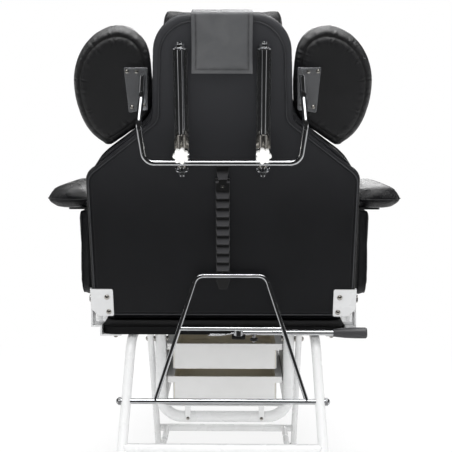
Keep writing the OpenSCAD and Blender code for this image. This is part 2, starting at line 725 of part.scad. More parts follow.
module pivot_bolts() color("silver") both_sides() {
    translate([back_side + soft_gap, 0, hinge_h]) rotate([0, 90, 0])
        cylinder(d = pivot_d, h = pivot_x + seat_hinge_t - back_side - soft_gap);
    translate([pivot_x + seat_hinge_t, 0, hinge_h]) rotate([0, 90, 0]) hex_nut(pivot_d, 0.5 * pivot_d);
}

// Armrests: two posts in sockets beside the seat, a top plate, a panel and a padded top
panel_x = back_side + panel_gap;
post_x = back_side + post_gap;
post_ys = [panel_rear + 3.3 * post_d, panel_rear + panel_len - 5 * post_d];
socket_len = 63;
socket_base_w = 2.4 * socket_d;
module arm_sockets() color("white") both_sides() for (y = post_ys) difference() {
    union() {
        translate([post_x, y, seat_bottom]) cylinder(d = socket_d, h = socket_len);
        translate([seat_side, y - socket_base_w / 2, seat_bottom]) cube([seat_hinge_t, socket_base_w, seat_board_t]);
        translate([seat_side, y - seat_hinge_t / 2, seat_bottom])
            cube([post_x - seat_side, seat_hinge_t, seat_board_t]);
    }
    translate([post_x, y, seat_bottom + seat_hinge_t]) cylinder(d = post_d + 2 * fit, h = socket_len);
}
arm_plate_t = 5;
arm_plate_h = arm_pad_bottom - arm_plate_t - soft_gap;
arm_pad_x = back_side + arm_reach - arm_pad_w / 2;
arm_post_low = seat_bottom + seat_hinge_t + soft_gap;
module arm_frame() color("silver") {
    for (y = post_ys) translate([post_x, y, arm_post_low]) cylinder(d = post_d, h = arm_plate_h - arm_post_low);
    translate([(arm_pad_x + post_x) / 2, post_ys[0] - 1.5 * post_d, arm_plate_h]) round_box(
        arm_pad_x - post_x + 1.4 * post_d, post_ys[1] - post_ys[0] + 3 * post_d, arm_plate_t, post_d / 2);
}
module arm_frame_left() left() arm_frame();
module arm_frame_right() arm_frame();
module arm_panel() color([0.12, 0.12, 0.12]) {
    h = arm_plate_h - soft_gap - panel_bottom;
    top_r = panel_t / 4;
    translate([panel_x, panel_rear, panel_bottom]) rotate([90, 0, 90]) linear_extrude(panel_t)
        polygon(rounded([[0, 0, panel_r], [panel_len, 0, panel_r], [panel_len, h, top_r], [0, h, top_r]]));
}
module arm_panel_left() left() arm_panel();
module arm_panel_right() arm_panel();
arm_seam_share = 0.42;
arm_taper_share = 0.16;
module arm_pad() color([0.13, 0.13, 0.13]) translate([arm_pad_x, arm_pad_rear, arm_pad_bottom]) soft_loft(
    [for (s = stations(arm_pad_len, arm_pad_w * 0.45, 8)) let(
        e = eased(gap_to_end(s, arm_pad_len), arm_pad_w * 0.5),
        thick = arm_pad_t * (low_share + (1 - low_share) * e),
        w = arm_pad_w / 2 * (1 - arm_taper_share * pow(s / arm_pad_len, 2)) * e)
        [s, (w - arm_pad_w / 2) * arm_taper_share, w, arm_pad_t * arm_seam_share,
            thick * (1 - arm_seam_share), thick * arm_seam_share]],
    1, 1.2, 0.55);
module arm_pad_left() left() arm_pad();
module arm_pad_right() arm_pad();

// Back: a board whose rear cover stands a little proud inside its piped seam
neck_x = head_w / 2 + neck_spread;
seam_head = 15;
seam_low = 5;
cover_t = 3;
seam_shares = [0.3, 0, 0.5];
neck_drop_share = 0.25;
foam_form = [0, shoulder_r, neck_r];
board_form = [board_drop, board_bend_r, board_bend_r];
function back_outline(inset, low_inset, form) = let(
    shoulder = shoulder_rise - form[0] - inset * seam_shares[0],
    neck = neck_rise - form[0] * neck_drop_share - inset * seam_shares[1],
    right = [
        [back_side - low_inset, low_inset, back_corner_r],
        [back_side - low_inset, shoulder, form[1]],
        [neck_x - inset, neck, form[2]],
        [head_w / 2 - cover_t - inset, back_len - inset, head_r - inset * seam_shares[2]]])
    rounded(concat(right, [for (i = [3 : -1 : 0]) [-right[i][0], right[i][1], right[i][2]]]));
module back_board() color([0.13, 0.13, 0.13]) on_back() {
    translate([0, cover_t, 0]) backwards() linear_extrude(cover_t)
        polygon(back_outline(seam_head, seam_low, board_form));
    translate([0, back_board_t, 0]) backwards() linear_extrude(back_board_t - cover_t)
        polygon(back_outline(0, 0, board_form));
}
// Half width of the back at a height, from its own outline
back_pts = back_outline(0, 0, foam_form);
function half_at(s) = max([for (i = [0 : len(back_pts) - 2]) let(a = back_pts[i], b = back_pts[i + 1])
    if (a[0] > 0 && b[0] > 0 && a[1] <= s && b[1] > s) along(a[0], b[0], (s - a[1]) / (b[1] - a[1]))]);
function back_half(s) = half_at(max(cover_t, min(back_len - cover_t, s)));
back_soft_t = back_t - back_board_t - soft_gap;
function back_rise(s) = let(e = eased(gap_to_end(s, back_len), edge_roll))
    (back_soft_t - seam_h - crown - channels(s, back_len)) * e + swell_up(s, back_len);
function back_front(s) = back_board_t + soft_gap + seam_h + back_rise(s);
module back_cushion() color([0.13, 0.13, 0.13]) on_back() translate([0, back_board_t + soft_gap, 0]) stand_up()
    soft_loft([for (s = stations(back_len, edge_roll, 19))
        [s, 0, back_half(s) - over, seam_h, back_rise(s),
            seam_h * max(eased(gap_to_end(s, back_len), edge_roll), low_share)]],
        0.14, 0.42, 0.12);

// Upper hinge plates: a flange on the rear face and one on the side
flange_w = 48;
flange_h = 70;
flange_low = 4;
flange_screw_d = 6;
flange_holes = [[back_side - 0.71 * flange_w, 0.73 * flange_h], [back_side - 0.77 * flange_w, 0.21 * flange_h]];
module back_hinge() color("white") on_back() difference() {
    union() {
        translate([back_side - flange_w, 0, 0]) backwards() linear_extrude(back_hinge_t)
            polygon(rounded([[0, flange_low, flange_low], [0.72 * flange_w, flange_low, 3 * flange_low],
                [flange_w + back_hinge_t + soft_gap, 0.31 * flange_h, 2 * flange_low],
                [flange_w + back_hinge_t + soft_gap, flange_h, flange_low / 2], [0, flange_h, flange_low]]));
        translate([back_side + soft_gap, 0, 0]) rotate([90, 0, 90]) linear_extrude(back_hinge_t) {
            translate([hinge_inset, hinge_rise]) circle(d = 2.6 * pivot_d);
            polygon([[-back_hinge_t, 0.31 * flange_h], [2 * back_hinge_t, 0.17 * flange_h],
                [hinge_inset, hinge_rise - 1.3 * pivot_d], [hinge_inset, hinge_rise + 1.3 * pivot_d],
                [2 * back_hinge_t, flange_h], [-back_hinge_t, flange_h]]);
        }
    }
    translate([0, hinge_inset, hinge_rise]) rotate([0, 90, 0]) cylinder(d = pivot_d + 2 * fit, h = back_w);
    for (p = flange_holes) translate([p[0], over, p[1]]) backwards() cylinder(d = flange_screw_d, h = 2 * back_hinge_t);
}
module back_hinge_left() left() back_hinge();
module back_hinge_right() back_hinge();

// Toothed rack: each tooth is a ramp that narrows to its hooked lower end
rack_screw_d = 4;
rack_seat = 0.3 * rack_base_t;
rack_rises = [rack_low + 1.45 * rack_w, rack_high - 1.53 * rack_w];
tooth_narrow_share = 0.83;
module slab(points) translate([-rack_w / 2, 0, 0]) rotate([90, 0, 90]) linear_extrude(rack_w) polygon(points);
module wedge(low, high, low_w, high_w, h) backwards() linear_extrude(h)
    polygon([[-low_w / 2, low], [low_w / 2, low], [high_w / 2, high], [-high_w / 2, high]]);
module tooth(s) intersection() {
    slab([[0, s], [-rack_base_t, s], [-tooth_h, s - tooth_pitch * 0.05], [-tooth_h, s + tooth_pitch * 0.1],
        [-rack_base_t, s + tooth_pitch * 0.72], [0, s + tooth_pitch * 0.72]]);
    wedge(s - tooth_pitch * 0.06, s + tooth_pitch * 0.73, rack_w * tooth_narrow_share, rack_w, tooth_h + over);
}
module rack() color([0.08, 0.08, 0.08]) on_back() difference() {
    union() {
        translate([-rack_w / 2, -rack_base_t, rack_low + 0.7 * rack_w])
            cube([rack_w, rack_base_t, rack_high - rack_low - 1.6 * rack_w]);
        wedge(rack_low, rack_low + 0.7 * rack_w, 0.6 * rack_w, rack_w, rack_base_t);
        for (i = [0 : tooth_count - 1]) tooth(tooth_low + i * tooth_pitch);
        // ramp above the teeth, and the two small stops below it
        intersection() {
            slab([[0, rack_high - 0.92 * rack_w], [-tooth_h, rack_high - 0.92 * rack_w],
                [-tooth_h, rack_high - 0.8 * rack_w], [-rack_base_t / 2, rack_high], [0, rack_high]]);
            wedge(rack_high - rack_w, rack_high, 0.62 * rack_w, rack_w, tooth_h + over);
        }
        both_sides() translate([0.3 * rack_w, -tooth_h * 0.8, rack_high - 1.2 * rack_w])
            cube([0.2 * rack_w, tooth_h * 0.8, 0.14 * rack_w]);
    }
    for (s = rack_rises) translate([0, 0, s]) backwards() {
        translate([0, 0, -over]) cylinder(d = rack_screw_d, h = rack_w);
        translate([0, 0, rack_seat]) cylinder(d = 2 * rack_screw_d, h = rack_w);
    }
}

// Screws that hold the fittings on the back
module back_screws() color("silver") on_back() {
    both_sides() for (p = flange_holes) translate([p[0], -back_hinge_t, p[1]]) backwards()
        dome_screw(2 * flange_screw_d, flange_screw_d, back_hinge_t);
    for (s = rack_rises) translate([0, -rack_seat, s]) backwards()
        dome_screw(1.6 * rack_screw_d, rack_screw_d, rack_seat);
    both_sides() for (s = channel_screws) translate([guide_x, -channel_wall, s]) backwards()
        dome_screw(2 * channel_screw_d, channel_screw_d, channel_wall);
}

// Guide channels with an eye at each end that holds the guide rod
channel_screw_d = 5;
channel_screws = [channel_low + 0.5 * channel_len, channel_low + 0.9 * channel_len];
channel_side = 9;
module guide_channel() color("silver") on_back() translate([guide_x, 0, channel_low]) difference() {
    union() {
        translate([-channel_w / 2, -channel_wall, 0]) cube([channel_w, channel_wall, channel_len]);
        for (x = [-channel_w / 2, channel_w / 2 - channel_wall])
            translate([x, -channel_side, 0]) cube([channel_wall, channel_side, channel_len]);
        for (z = [0, channel_len - channel_wall]) translate([0, 0, z]) linear_extrude(channel_wall) {
            translate([-channel_w / 2, -guide_out]) square([channel_w, guide_out]);
            translate([0, -guide_out]) circle(d = channel_w);
        }
    }
    for (z = [0, channel_len - channel_wall]) translate([0, -guide_out, z - over])
        cylinder(d = guide_d, h = channel_wall + 2 * over);
    for (s = channel_screws) translate([0, over, s - channel_low]) backwards()
        cylinder(d = channel_screw_d, h = 3 * channel_wall);
}
module guide_channel_left() left() guide_channel();
module guide_channel_right() guide_channel();
nut_h = 8;
module guide_rods() color("silver") on_back() both_sides() translate([guide_x, -guide_out, channel_low]) {
    translate([0, 0, -1.5 * nut_h]) cylinder(d = guide_d, h = channel_len + 3 * nut_h);
    translate([0, 0, -nut_h]) hex_nut(guide_d * 0.9, nut_h);
    translate([0, 0, channel_len]) cylinder(d = 1.9 * guide_d, h = nut_h / 4);
    translate([0, 0, channel_len + nut_h / 4]) hex_nut(guide_d * 0.9, 0.8 * nut_h);
}

// Pillow on the front of the head part, its flap over the top and down behind
pillow_low = back_len - pillow_len - pillow_drop;
pillow_seam_share = 0.4;
pillow_y = back_front(pillow_low + 0.12 * pillow_len) + soft_gap;
module head_pillow() color([0.13, 0.13, 0.13]) on_back() translate([0, pillow_y, pillow_low]) stand_up() soft_loft(
    [for (s = stations(pillow_len, pillow_t * 0.55, 6)) let(e = eased(gap_to_end(s, pillow_len), pillow_t * 0.6))
        [s, 0, pillow_w / 2 - pillow_t * 0.22 * (1 - e) - pulled_in(s, pillow_len),
            pillow_t * pillow_seam_share, pillow_t * (1 - pillow_seam_share) * e, pillow_t * pillow_seam_share * e]],
    0.35, 0.6, 0.35);
// The flap is sewn to the pillow's upper seam, lies over the back's top edge and hangs down behind it
flap_seam_y = pillow_y + pillow_t * pillow_seam_share;
flap_crest_y = pillow_y - pillow_t * 0.3;
module pillow_flap() color([0.3, 0.3, 0.3]) on_back() {
    top = back_len + soft_gap;
    hem = [-soft_gap - flap_len * sin(flap_swing), top - flap_len * cos(flap_swing)];
    out = flap_t * [-cos(flap_swing), sin(flap_swing)];
    translate([-flap_w / 2, 0, 0]) rotate([90, 0, 90]) linear_extrude(flap_w) polygon([
        hem, [-soft_gap, top], [flap_crest_y, top], [flap_seam_y, top - pillow_drop],
        [flap_seam_y, top - pillow_drop + flap_t], [flap_crest_y, top + flap_t], [flap_t, top + flap_t],
        [-flap_t / 2, top + 0.8 * flap_t], [-soft_gap - flap_t, top + 0.1 * flap_t], hem + out]);
}

// Head frame: sliders on the guide rods, a bent rod, plates and side pads
slider_low = frame_rod_rise - frame_rod_d;
knob_s = frame_rod_rise + knob_rise;
stud_d = 8;
boss_len = 1.2 * sleeve_d;
wing_t = 3;
module slider() color("silver") on_back() difference() {
    union() {
        translate([guide_x, -guide_out, slider_low]) cylinder(d = sleeve_d, h = sleeve_len);
        // rounded plate across the sleeve's upper end
        translate([guide_x, -guide_out, slider_low + sleeve_len - channel_w / 2]) backwards()
            linear_extrude(wing_t) {
                circle(d = channel_w);
                translate([-channel_w / 2, -channel_w / 2]) square([channel_w, channel_w / 2]);
            }
        translate([guide_x, -guide_out, knob_s]) backwards() cylinder(d = 1.7 * stud_d, h = boss_len);
        // saddle in which the level rod is welded
        translate([guide_x - sleeve_d * 0.4, -frame_rod_out, frame_rod_rise - frame_rod_d * 0.4])
            cube([sleeve_d * 0.8, frame_rod_out - guide_out, frame_rod_d * 0.8]);
    }
    translate([guide_x, -guide_out, slider_low - over]) cylinder(d = guide_d + 2 * fit, h = sleeve_len + 2 * over);
    translate([guide_x, -guide_out, knob_s]) backwards() cylinder(d = stud_d + 2 * fit, h = 2 * sleeve_d);
    rod([0, -frame_rod_out, frame_rod_rise], [2 * guide_x, -frame_rod_out, frame_rod_rise], frame_rod_d);
}
module slider_left() left() slider();
module slider_right() slider();

pad_inner = head_w / 2 + pad_gap;
plate_t = 3;
plate_low = pad_low + 0.294 * pad_len;
plate_high = pad_low + 0.661 * pad_len;
plate_y = pad_back_y - soft_gap;
rod_y = plate_y - plate_t - frame_rod_d / 2;
frame_side = [
    [pad_inner + 1.2 * frame_rod_d, rod_y, plate_high - 1.3 * frame_rod_d],
    [pad_inner + 1.5 * frame_rod_d, rod_y, plate_low + 3 * frame_rod_d],
    [frame_rod_x + 0.8 * frame_rod_d, -frame_rod_out, plate_low - 1.4 * frame_rod_d],
    [frame_rod_x, -frame_rod_out, frame_rod_rise]];
frame_path = concat(frame_side, [for (i = [3 : -1 : 0]) [-frame_side[i][0], frame_side[i][1], frame_side[i][2]]]);
module head_frame_rod() color("silver") on_back() bent_rod(frame_path, frame_bend_r, frame_rod_d);

// Four-cornered plates on the side pads with a folded upper edge
plate_w = 50;
pad_screw_d = 5;
plate_holes = [
    [pad_inner + 0.55 * plate_w, plate_high - 1.8 * pad_screw_d], [pad_inner + 0.95 * plate_w, plate_high - 1.8 * pad_screw_d],
    [pad_inner + 0.3 * plate_w, plate_low + 2.6 * pad_screw_d], [pad_inner + 0.8 * plate_w, plate_low + 1.8 * pad_screw_d]];
module pad_plate() color("silver") on_back() difference() {
    union() {
        translate([pad_inner, plate_y, 0]) backwards() linear_extrude(plate_t) polygon(rounded([
            [0.14 * plate_w, plate_low + plate_t, plate_t], [0.94 * plate_w, plate_low - plate_t, plate_t],
            [1.08 * plate_w, plate_high, plate_t], [0.1 * plate_w, plate_high, plate_t]]));
        translate([pad_inner + 0.2 * plate_w, plate_y - 3 * plate_t, plate_high - plate_t])
            cube([0.75 * plate_w, 3 * plate_t, plate_t]);
    }
    for (p = plate_holes) translate([p[0], pad_back_y, p[1]]) backwards() cylinder(d = pad_screw_d, h = 3 * plate_t);
    bent_rod(frame_path, frame_bend_r, frame_rod_d);
}
module pad_plate_left() left() pad_plate();
module pad_plate_right() pad_plate();
module pad_screws() color("silver") on_back() both_sides() for (p = plate_holes)
    translate([p[0], plate_y - plate_t, p[1]]) backwards() dome_screw(1.7 * pad_screw_d, pad_screw_d, plate_t);

// Side pad: its inner edge follows the head part and the shoulder, its outer edge is round
pad_wide_share = 0.54;
pad_cut_share = 0.155;
pad_top_share = 0.4;
pad_seam_share = 0.35;
pad_tip = pad_w * 0.03;
pad_wide = pad_len * pad_wide_share;
function pad_up(s) = max(0, s - pad_wide) / (pad_len - pad_wide);
function pad_down(s) = max(0, pad_wide - s) / (pad_wide * (1 + pad_cut_share));
function pad_out(s) = pad_inner + pad_w * (s > pad_wide ? pow(1 - pow(pad_up(s), 1.59), 0.286)
    : pow(1 - pow(pad_down(s), 2.41), 0.432));
function pad_in(s) = max(pad_inner + pad_w * pad_top_share * pow(pad_up(s), 7),
    back_half(pad_low + s) + shoulder_gap);
module side_pad() color([0.13, 0.13, 0.13]) on_back() translate([0, pad_back_y, pad_low]) stand_up() soft_loft(
    [for (s = stations(pad_len, pad_len * 0.2, 10)) let(
        half = max(pad_tip, (pad_out(s) - pad_in(s)) / 2),
        e = eased(gap_to_end(s, pad_len), pad_t * 0.6))
        [s, -(pad_in(s) + half), half, pad_t * pad_seam_share, pad_t * (1 - pad_seam_share) * e,
            pad_t * pad_seam_share * max(e, low_share)]],
    0.45, 0.55, 0.3);
module side_pad_left() left() side_pad();
module side_pad_right() side_pad();

// Star knob with seven lobes; its stud presses on the guide rod
lobes = 7;
knob_t = 0.42 * knob_d;
knob_start = boss_len + 5 * soft_gap;
module star_knob() color("white") on_back() translate([guide_x, -guide_out, knob_s]) backwards() {
    translate([0, 0, guide_d / 2 + soft_gap]) cylinder(d = stud_d, h = knob_start + stud_d / 2 - guide_d / 2);
    translate([0, 0, knob_start]) linear_extrude(knob_t) {
        circle(d = 0.78 * knob_d);
        for (i = [0 : lobes - 1]) rotate(i * 360 / lobes) translate([0.36 * knob_d, 0]) circle(d = 0.28 * knob_d);
    }
    translate([0, 0, knob_start + knob_t]) cylinder(d1 = 0.7 * knob_d, d2 = 0.5 * knob_d, h = 0.1 * knob_d);
}
module star_knob_left() left() star_knob();
module star_knob_right() star_knob();

// Prop: a bent rod with a cross bar, welded to the axle that turns in the rear legs
prop_out = rack_base_t + prop_d / 2 + soft_gap;
bar_at = back_point([0, -prop_out, notch_rise]);
prop_path = [
    [-prop_foot_x, axle_at[1], axle_h], [-prop_top_x, bar_at[1], bar_at[2]],
    [prop_top_x, bar_at[1], bar_at[2]], [prop_foot_x, axle_at[1], axle_h]];
axle_half = axle_at[0] + leg_d / 2 + soft_gap;
module prop() color("silver") {
    translate([prop_shift, 0, 0]) {
        bent_rod(prop_path, prop_bend_r, prop_d);
        rod(along(prop_path[0], prop_path[1], prop_bar_share), along(prop_path[3], prop_path[2], prop_bar_share),
            0.9 * prop_d);
    }
    rod([-axle_half, axle_at[1], axle_h], [axle_half, axle_at[1], axle_h], axle_d);
}
module prop_cap_nuts() color("silver") both_sides() translate([axle_half, axle_at[1], axle_h]) rotate([0, 90, 0]) {
    hex_nut(0.85 * axle_d, 0.5 * axle_d);
    intersection() {
        cylinder(d = 1.3 * axle_d, h = axle_d);
        translate([0, 0, 0.3 * axle_d]) sphere(d = 1.32 * axle_d);
    }
}

// Leg rest, drawn level with the seat
leg_board_t = 14;
leg_board_low = leg_hinge_h + drum_d / 2 + soft_gap;
leg_rest_start = seat_front + leg_hinge_gap * 0.4;
leg_soft_low = leg_board_low + leg_board_t + soft_gap;
leg_soft_t = seat_top - leg_soft_low;
leg_corner_r = 60;
leg_inset = 12;
module leg_rest_board() color([0.1, 0.1, 0.1]) translate([0, leg_rest_start, leg_board_low])
    linear_extrude(leg_board_t) polygon(rounded([
        [-seat_w / 2 + leg_inset, soft_gap, leg_inset], [seat_w / 2 - leg_inset, soft_gap, leg_inset],
        [leg_rest_w / 2 - leg_inset, leg_rest_len - leg_inset, leg_corner_r],
        [-leg_rest_w / 2 + leg_inset, leg_rest_len - leg_inset, leg_corner_r]]));
module leg_rest_cushion() color([0.13, 0.13, 0.13]) translate([0, leg_rest_start, leg_soft_low]) soft_loft(
    [for (s = stations(leg_rest_len, edge_roll, 12)) let(
        e = eased(gap_to_end(s, leg_rest_len), edge_roll),
        corner = leg_corner_r * (1 - eased(leg_rest_len - s, leg_corner_r))
            + leg_inset * (1 - eased(s, leg_inset)))
        [s, 0, along(seat_w, leg_rest_w, s / leg_rest_len) / 2 - corner - pulled_in(s, leg_rest_len), seam_h,
            (leg_soft_t - seam_h - crown) * e + swell_up(s, leg_rest_len), seam_h * max(e, low_share)]],
    0.16, 0.4, 0.12);
arm_x = 120;
arm_w = 25;
hinge_tube_d = 1.6 * leg_pin_d;
module leg_rest_bracket() color("white") {
    rod([-lug_x + soft_gap, leg_hinge_y, leg_hinge_h], [lug_x - soft_gap, leg_hinge_y, leg_hinge_h], hinge_tube_d);
    both_sides() rod([lug_x - lug_t, leg_hinge_y, leg_hinge_h], [lug_x + lug_t, leg_hinge_y, leg_hinge_h], leg_pin_d);
    rod([release_x - drum_w / 2, leg_hinge_y, leg_hinge_h], [release_x + drum_w / 2, leg_hinge_y, leg_hinge_h], drum_d);
    both_sides() translate([arm_x, 0, 0]) rotate([90, 0, 90]) linear_extrude(arm_w) polygon([
        [leg_hinge_y - hinge_tube_d * 0.3, leg_hinge_h], [leg_hinge_y + hinge_tube_d, leg_hinge_h],
        [leg_hinge_y + hinge_tube_d * 1.6, leg_board_low - lug_t], [leg_hinge_y + 0.6 * leg_rest_len, leg_board_low - lug_t],
        [leg_hinge_y + 0.6 * leg_rest_len, leg_board_low], [leg_hinge_y - hinge_tube_d * 0.3, leg_board_low]]);
}

// Release lever on an upright pin behind the seat board; it pulls the release rod off the brake drum
lever_y = -seat_rear - lever_out;
lever_hub_d = 22;
lever_hub_h = 12;
wire_d = 3;
lever_plate_t = 3.2;
module lever_bracket() color("white") {
    translate([lever_x, lever_y - lever_hub_d / 2, seat_bottom - lever_plate_t])
        round_box(1.4 * lever_hub_d, lever_out + 2.4 * lever_hub_d, lever_plate_t, lever_hub_d / 4);
    translate([lever_x, lever_y, seat_bottom])
        cylinder(d = 2 * lever_pin_d, h = lever_rise - lever_hub_h / 2 - soft_gap);
    translate([lever_x, lever_y, seat_bottom - lever_plate_t])
        cylinder(d = lever_pin_d, h = lever_plate_t + lever_rise + lever_hub_h / 2 + soft_gap);
    translate([lever_x, lever_y, lever_h + lever_hub_h / 2 + soft_gap]) hex_nut(lever_pin_d, lever_pin_d / 2);
}
loop_low = lever_hub_d * 0.25;
loop_far = lever_x - 3.1 * lever_hub_d;
module lever_rod() color("silver") {
    difference() {
        union() {
            translate([lever_x, lever_y, lever_h - lever_hub_h / 2]) cylinder(d = lever_hub_d, h = lever_hub_h);
            rod([lever_x, lever_y, lever_h], [grip_start, lever_y, lever_h], lever_d);
            translate([release_x, lever_y, release_h - release_d])
                cylinder(d = release_d, h = lever_h - release_h + release_d);
        }
        translate([lever_x, lever_y, lever_h - lever_hub_h]) cylinder(d = lever_pin_d + 2 * fit, h = 2 * lever_hub_h);
    }
    // bent wire loop at the lever's short end
    bent_rod([[lever_x - 0.3 * lever_hub_d, lever_y - 0.2 * lever_hub_d, lever_h],
        [lever_x - 1.8 * lever_hub_d, lever_y - 0.2 * lever_hub_d, lever_h - loop_low],
        [loop_far, lever_y - 0.2 * lever_hub_d, lever_h - loop_low],
        [loop_far, lever_y + 0.2 * lever_hub_d, lever_h - loop_low],
        [lever_x - 1.2 * lever_hub_d, lever_y + 0.2 * lever_hub_d, lever_h - loop_low],
        [lever_x - 0.3 * lever_hub_d, lever_y + 0.2 * lever_hub_d, lever_h]], wire_d, wire_d);
}
module lever_grip() color([0.12, 0.12, 0.12]) translate([grip_start, lever_y, lever_h]) rotate([0, 90, 0])
    rotate_extrude() polygon([[0, 0], [0.34 * grip_d, 0], [0.36 * grip_d, 0.04 * grip_len],
        [0.46 * grip_d, 0.35 * grip_len], [0.5 * grip_d, 0.7 * grip_len], [0.5 * grip_d, 0.96 * grip_len],
        [0.42 * grip_d, grip_len], [0, grip_len]]);
shoe_rise = leg_hinge_h - release_h - release_d / 2;
shoe_y = leg_hinge_y - sqrt(drum_d * drum_d / 4 - shoe_rise * shoe_rise) - soft_gap;
module release_rod() color([0.15, 0.15, 0.15]) difference() {
    union() {
        translate([release_x, lever_y, release_h - 0.4 * release_d]) cylinder(d = 3 * release_d, h = 0.8 * release_d);
        rod([release_x, lever_y + release_d, release_h], [release_x, shoe_y, release_h], release_d);
    }
    translate([release_x, lever_y, release_h - release_d]) cylinder(d = release_d * 1.35, h = 2 * release_d);
}

centre_y = (leg_rest_start + leg_rest_len - rear_foot_y - (leg_d / 2 + cap_wall) / rear_axis[2]) / 2;
module put() translate([0, -centre_y, 0]) children();

put() rear_leg_left();
put() rear_leg_right();
put() seat_rail_left();
put() seat_rail_right();
put() front_leg_left();
put() front_leg_right();
put() rear_cross_tubes();
put() front_cross_tube();
put() stretchers();
put() seat_cross_tube();
put() foot_caps();
put() tray_hanger();
put() tray_bracket();
put() tray_runner_left();
put() tray_runner_right();
put() upper_tray();
put() lower_tray();
put() frame_bolts();
put() seat_board();
put() seat_cushion();
put() seat_hinge_left();
put() seat_hinge_right();
put() pivot_bolts();
put() arm_sockets();
put() arm_frame_left();
put() arm_frame_right();
put() arm_panel_left();
put() arm_panel_right();
put() arm_pad_left();
put() arm_pad_right();
put() back_board();
put() back_cushion();
put() back_hinge_left();
put() back_hinge_right();
put() rack();
put() back_screws();
put() guide_channel_left();
put() guide_channel_right();
put() guide_rods();
put() head_pillow();
put() pillow_flap();
put() slider_left();
put() slider_right();
put() head_frame_rod();
put() pad_plate_left();
put() pad_plate_right();
put() pad_screws();
put() side_pad_left();
put() side_pad_right();
put() star_knob_left();
put() star_knob_right();
put() prop();
put() prop_cap_nuts();
put() leg_rest_board();
put() leg_rest_cushion();
put() leg_rest_bracket();
put() lever_bracket();
put() lever_rod();
put() lever_grip();
put() release_rod();
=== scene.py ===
# Threading chair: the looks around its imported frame, seen from behind the chair.
import bpy
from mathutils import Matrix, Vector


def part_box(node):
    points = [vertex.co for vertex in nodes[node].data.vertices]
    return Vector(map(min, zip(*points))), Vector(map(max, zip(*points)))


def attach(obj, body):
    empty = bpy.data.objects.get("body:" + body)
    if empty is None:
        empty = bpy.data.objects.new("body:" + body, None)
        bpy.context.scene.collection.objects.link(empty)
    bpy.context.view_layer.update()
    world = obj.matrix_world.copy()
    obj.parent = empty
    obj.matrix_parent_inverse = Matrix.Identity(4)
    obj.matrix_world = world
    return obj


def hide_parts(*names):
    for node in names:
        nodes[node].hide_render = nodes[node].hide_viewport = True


for unused in ("Cube", "Light", "Camera"):
    if unused in bpy.data.objects:
        bpy.data.objects.remove(bpy.data.objects[unused])
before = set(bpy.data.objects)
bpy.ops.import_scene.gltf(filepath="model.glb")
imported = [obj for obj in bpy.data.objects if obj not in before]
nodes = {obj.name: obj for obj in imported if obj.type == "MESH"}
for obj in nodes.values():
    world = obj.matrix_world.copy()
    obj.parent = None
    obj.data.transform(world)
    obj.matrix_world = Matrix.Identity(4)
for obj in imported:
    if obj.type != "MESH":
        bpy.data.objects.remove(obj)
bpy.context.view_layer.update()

import math
import bmesh
import numpy as np
from mathutils import Vector
from mathutils.bvhtree import BVHTree
from mathutils.kdtree import KDTree

scene = bpy.context.scene


# ---- The photographer's view
# The chair is seen from behind at the height of its headrest, a little to the right, looking
# slightly down. The picture is square and cuts off the feet.
CAMERA_AT = (0.030, -2.2754, 0.985)
CAMERA_DOWN, CAMERA_LEFT = math.radians(7.0), math.radians(0.70)
SENSOR = 36
FOCAL_SHARE = 870 / 452  # focal length as a part of the picture's width


def add(name, data):
    """A new object in the scene."""
    obj = bpy.data.objects.new(name, data)
    scene.collection.objects.link(obj)
    return obj


camera = add("camera", bpy.data.cameras.new("camera"))
camera.location = CAMERA_AT
camera.rotation_euler = (math.pi / 2 - CAMERA_DOWN, 0, CAMERA_LEFT)
camera.data.sensor_width, camera.data.lens = SENSOR, SENSOR * FOCAL_SHARE
camera.data.clip_start, camera.data.clip_end = 0.05, 60
scene.camera = camera
scene.view_settings.view_transform = "Standard"


# ---- Studio
# A pale floor, a white surround and large soft lamps. In the plating the room shows dark, apart
# from a low bright band ahead and the ceiling, which gives the rods their dark cores.
def feed(tree, socket, value):
    """Links a socket to another node's output, or sets it to a plain value."""
    if isinstance(value, bpy.types.NodeSocket):
        tree.links.new(value, socket)
    else:
        socket.default_value = value


def wire(tree, kind, into=None, **settings):
    """Adds a shader or geometry node with its settings and what goes into its inputs."""
    made = tree.nodes.new(kind)
    for name, value in settings.items():
        setattr(made, name, value)
    for name, value in (into or {}).items():
        feed(tree, made.inputs[name], value)
    return made


def emptied(owner):
    """The node tree of a world or a material, without its nodes."""
    owner.use_nodes = True
    owner.node_tree.nodes.clear()
    return owner.node_tree


def axes(tree, place):
    return wire(tree, "ShaderNodeSeparateXYZ", {0: place}).outputs


def reckon(tree, a, b, operation="MULTIPLY"):
    return wire(tree, "ShaderNodeMath", {0: a, 1: b}, operation=operation).outputs[0]


def blend(tree, factor, a, b):
    return wire(tree, "ShaderNodeMix", {"Factor": factor, "A": a, "B": b}, data_type="FLOAT").outputs[0]


def ramp(tree, value, low, high, out_low=0.0, out_high=1.0):
    return wire(tree, "ShaderNodeMapRange", {"Value": value, "From Min": low, "From Max": high,
                "To Min": out_low, "To Max": out_high}, interpolation_type="SMOOTHSTEP").outputs[0]


ROOM_DARK, ROOM_SOFT, ROOM_OVER = 0.02, 0.78, 4.4  # in the plating, on all else, the ceiling in the plating
AHEAD_FADE, LOW_FADE, CEILING_FADE = (-0.30, 0.12), (0.13, 0.01), (0.70, 0.94)

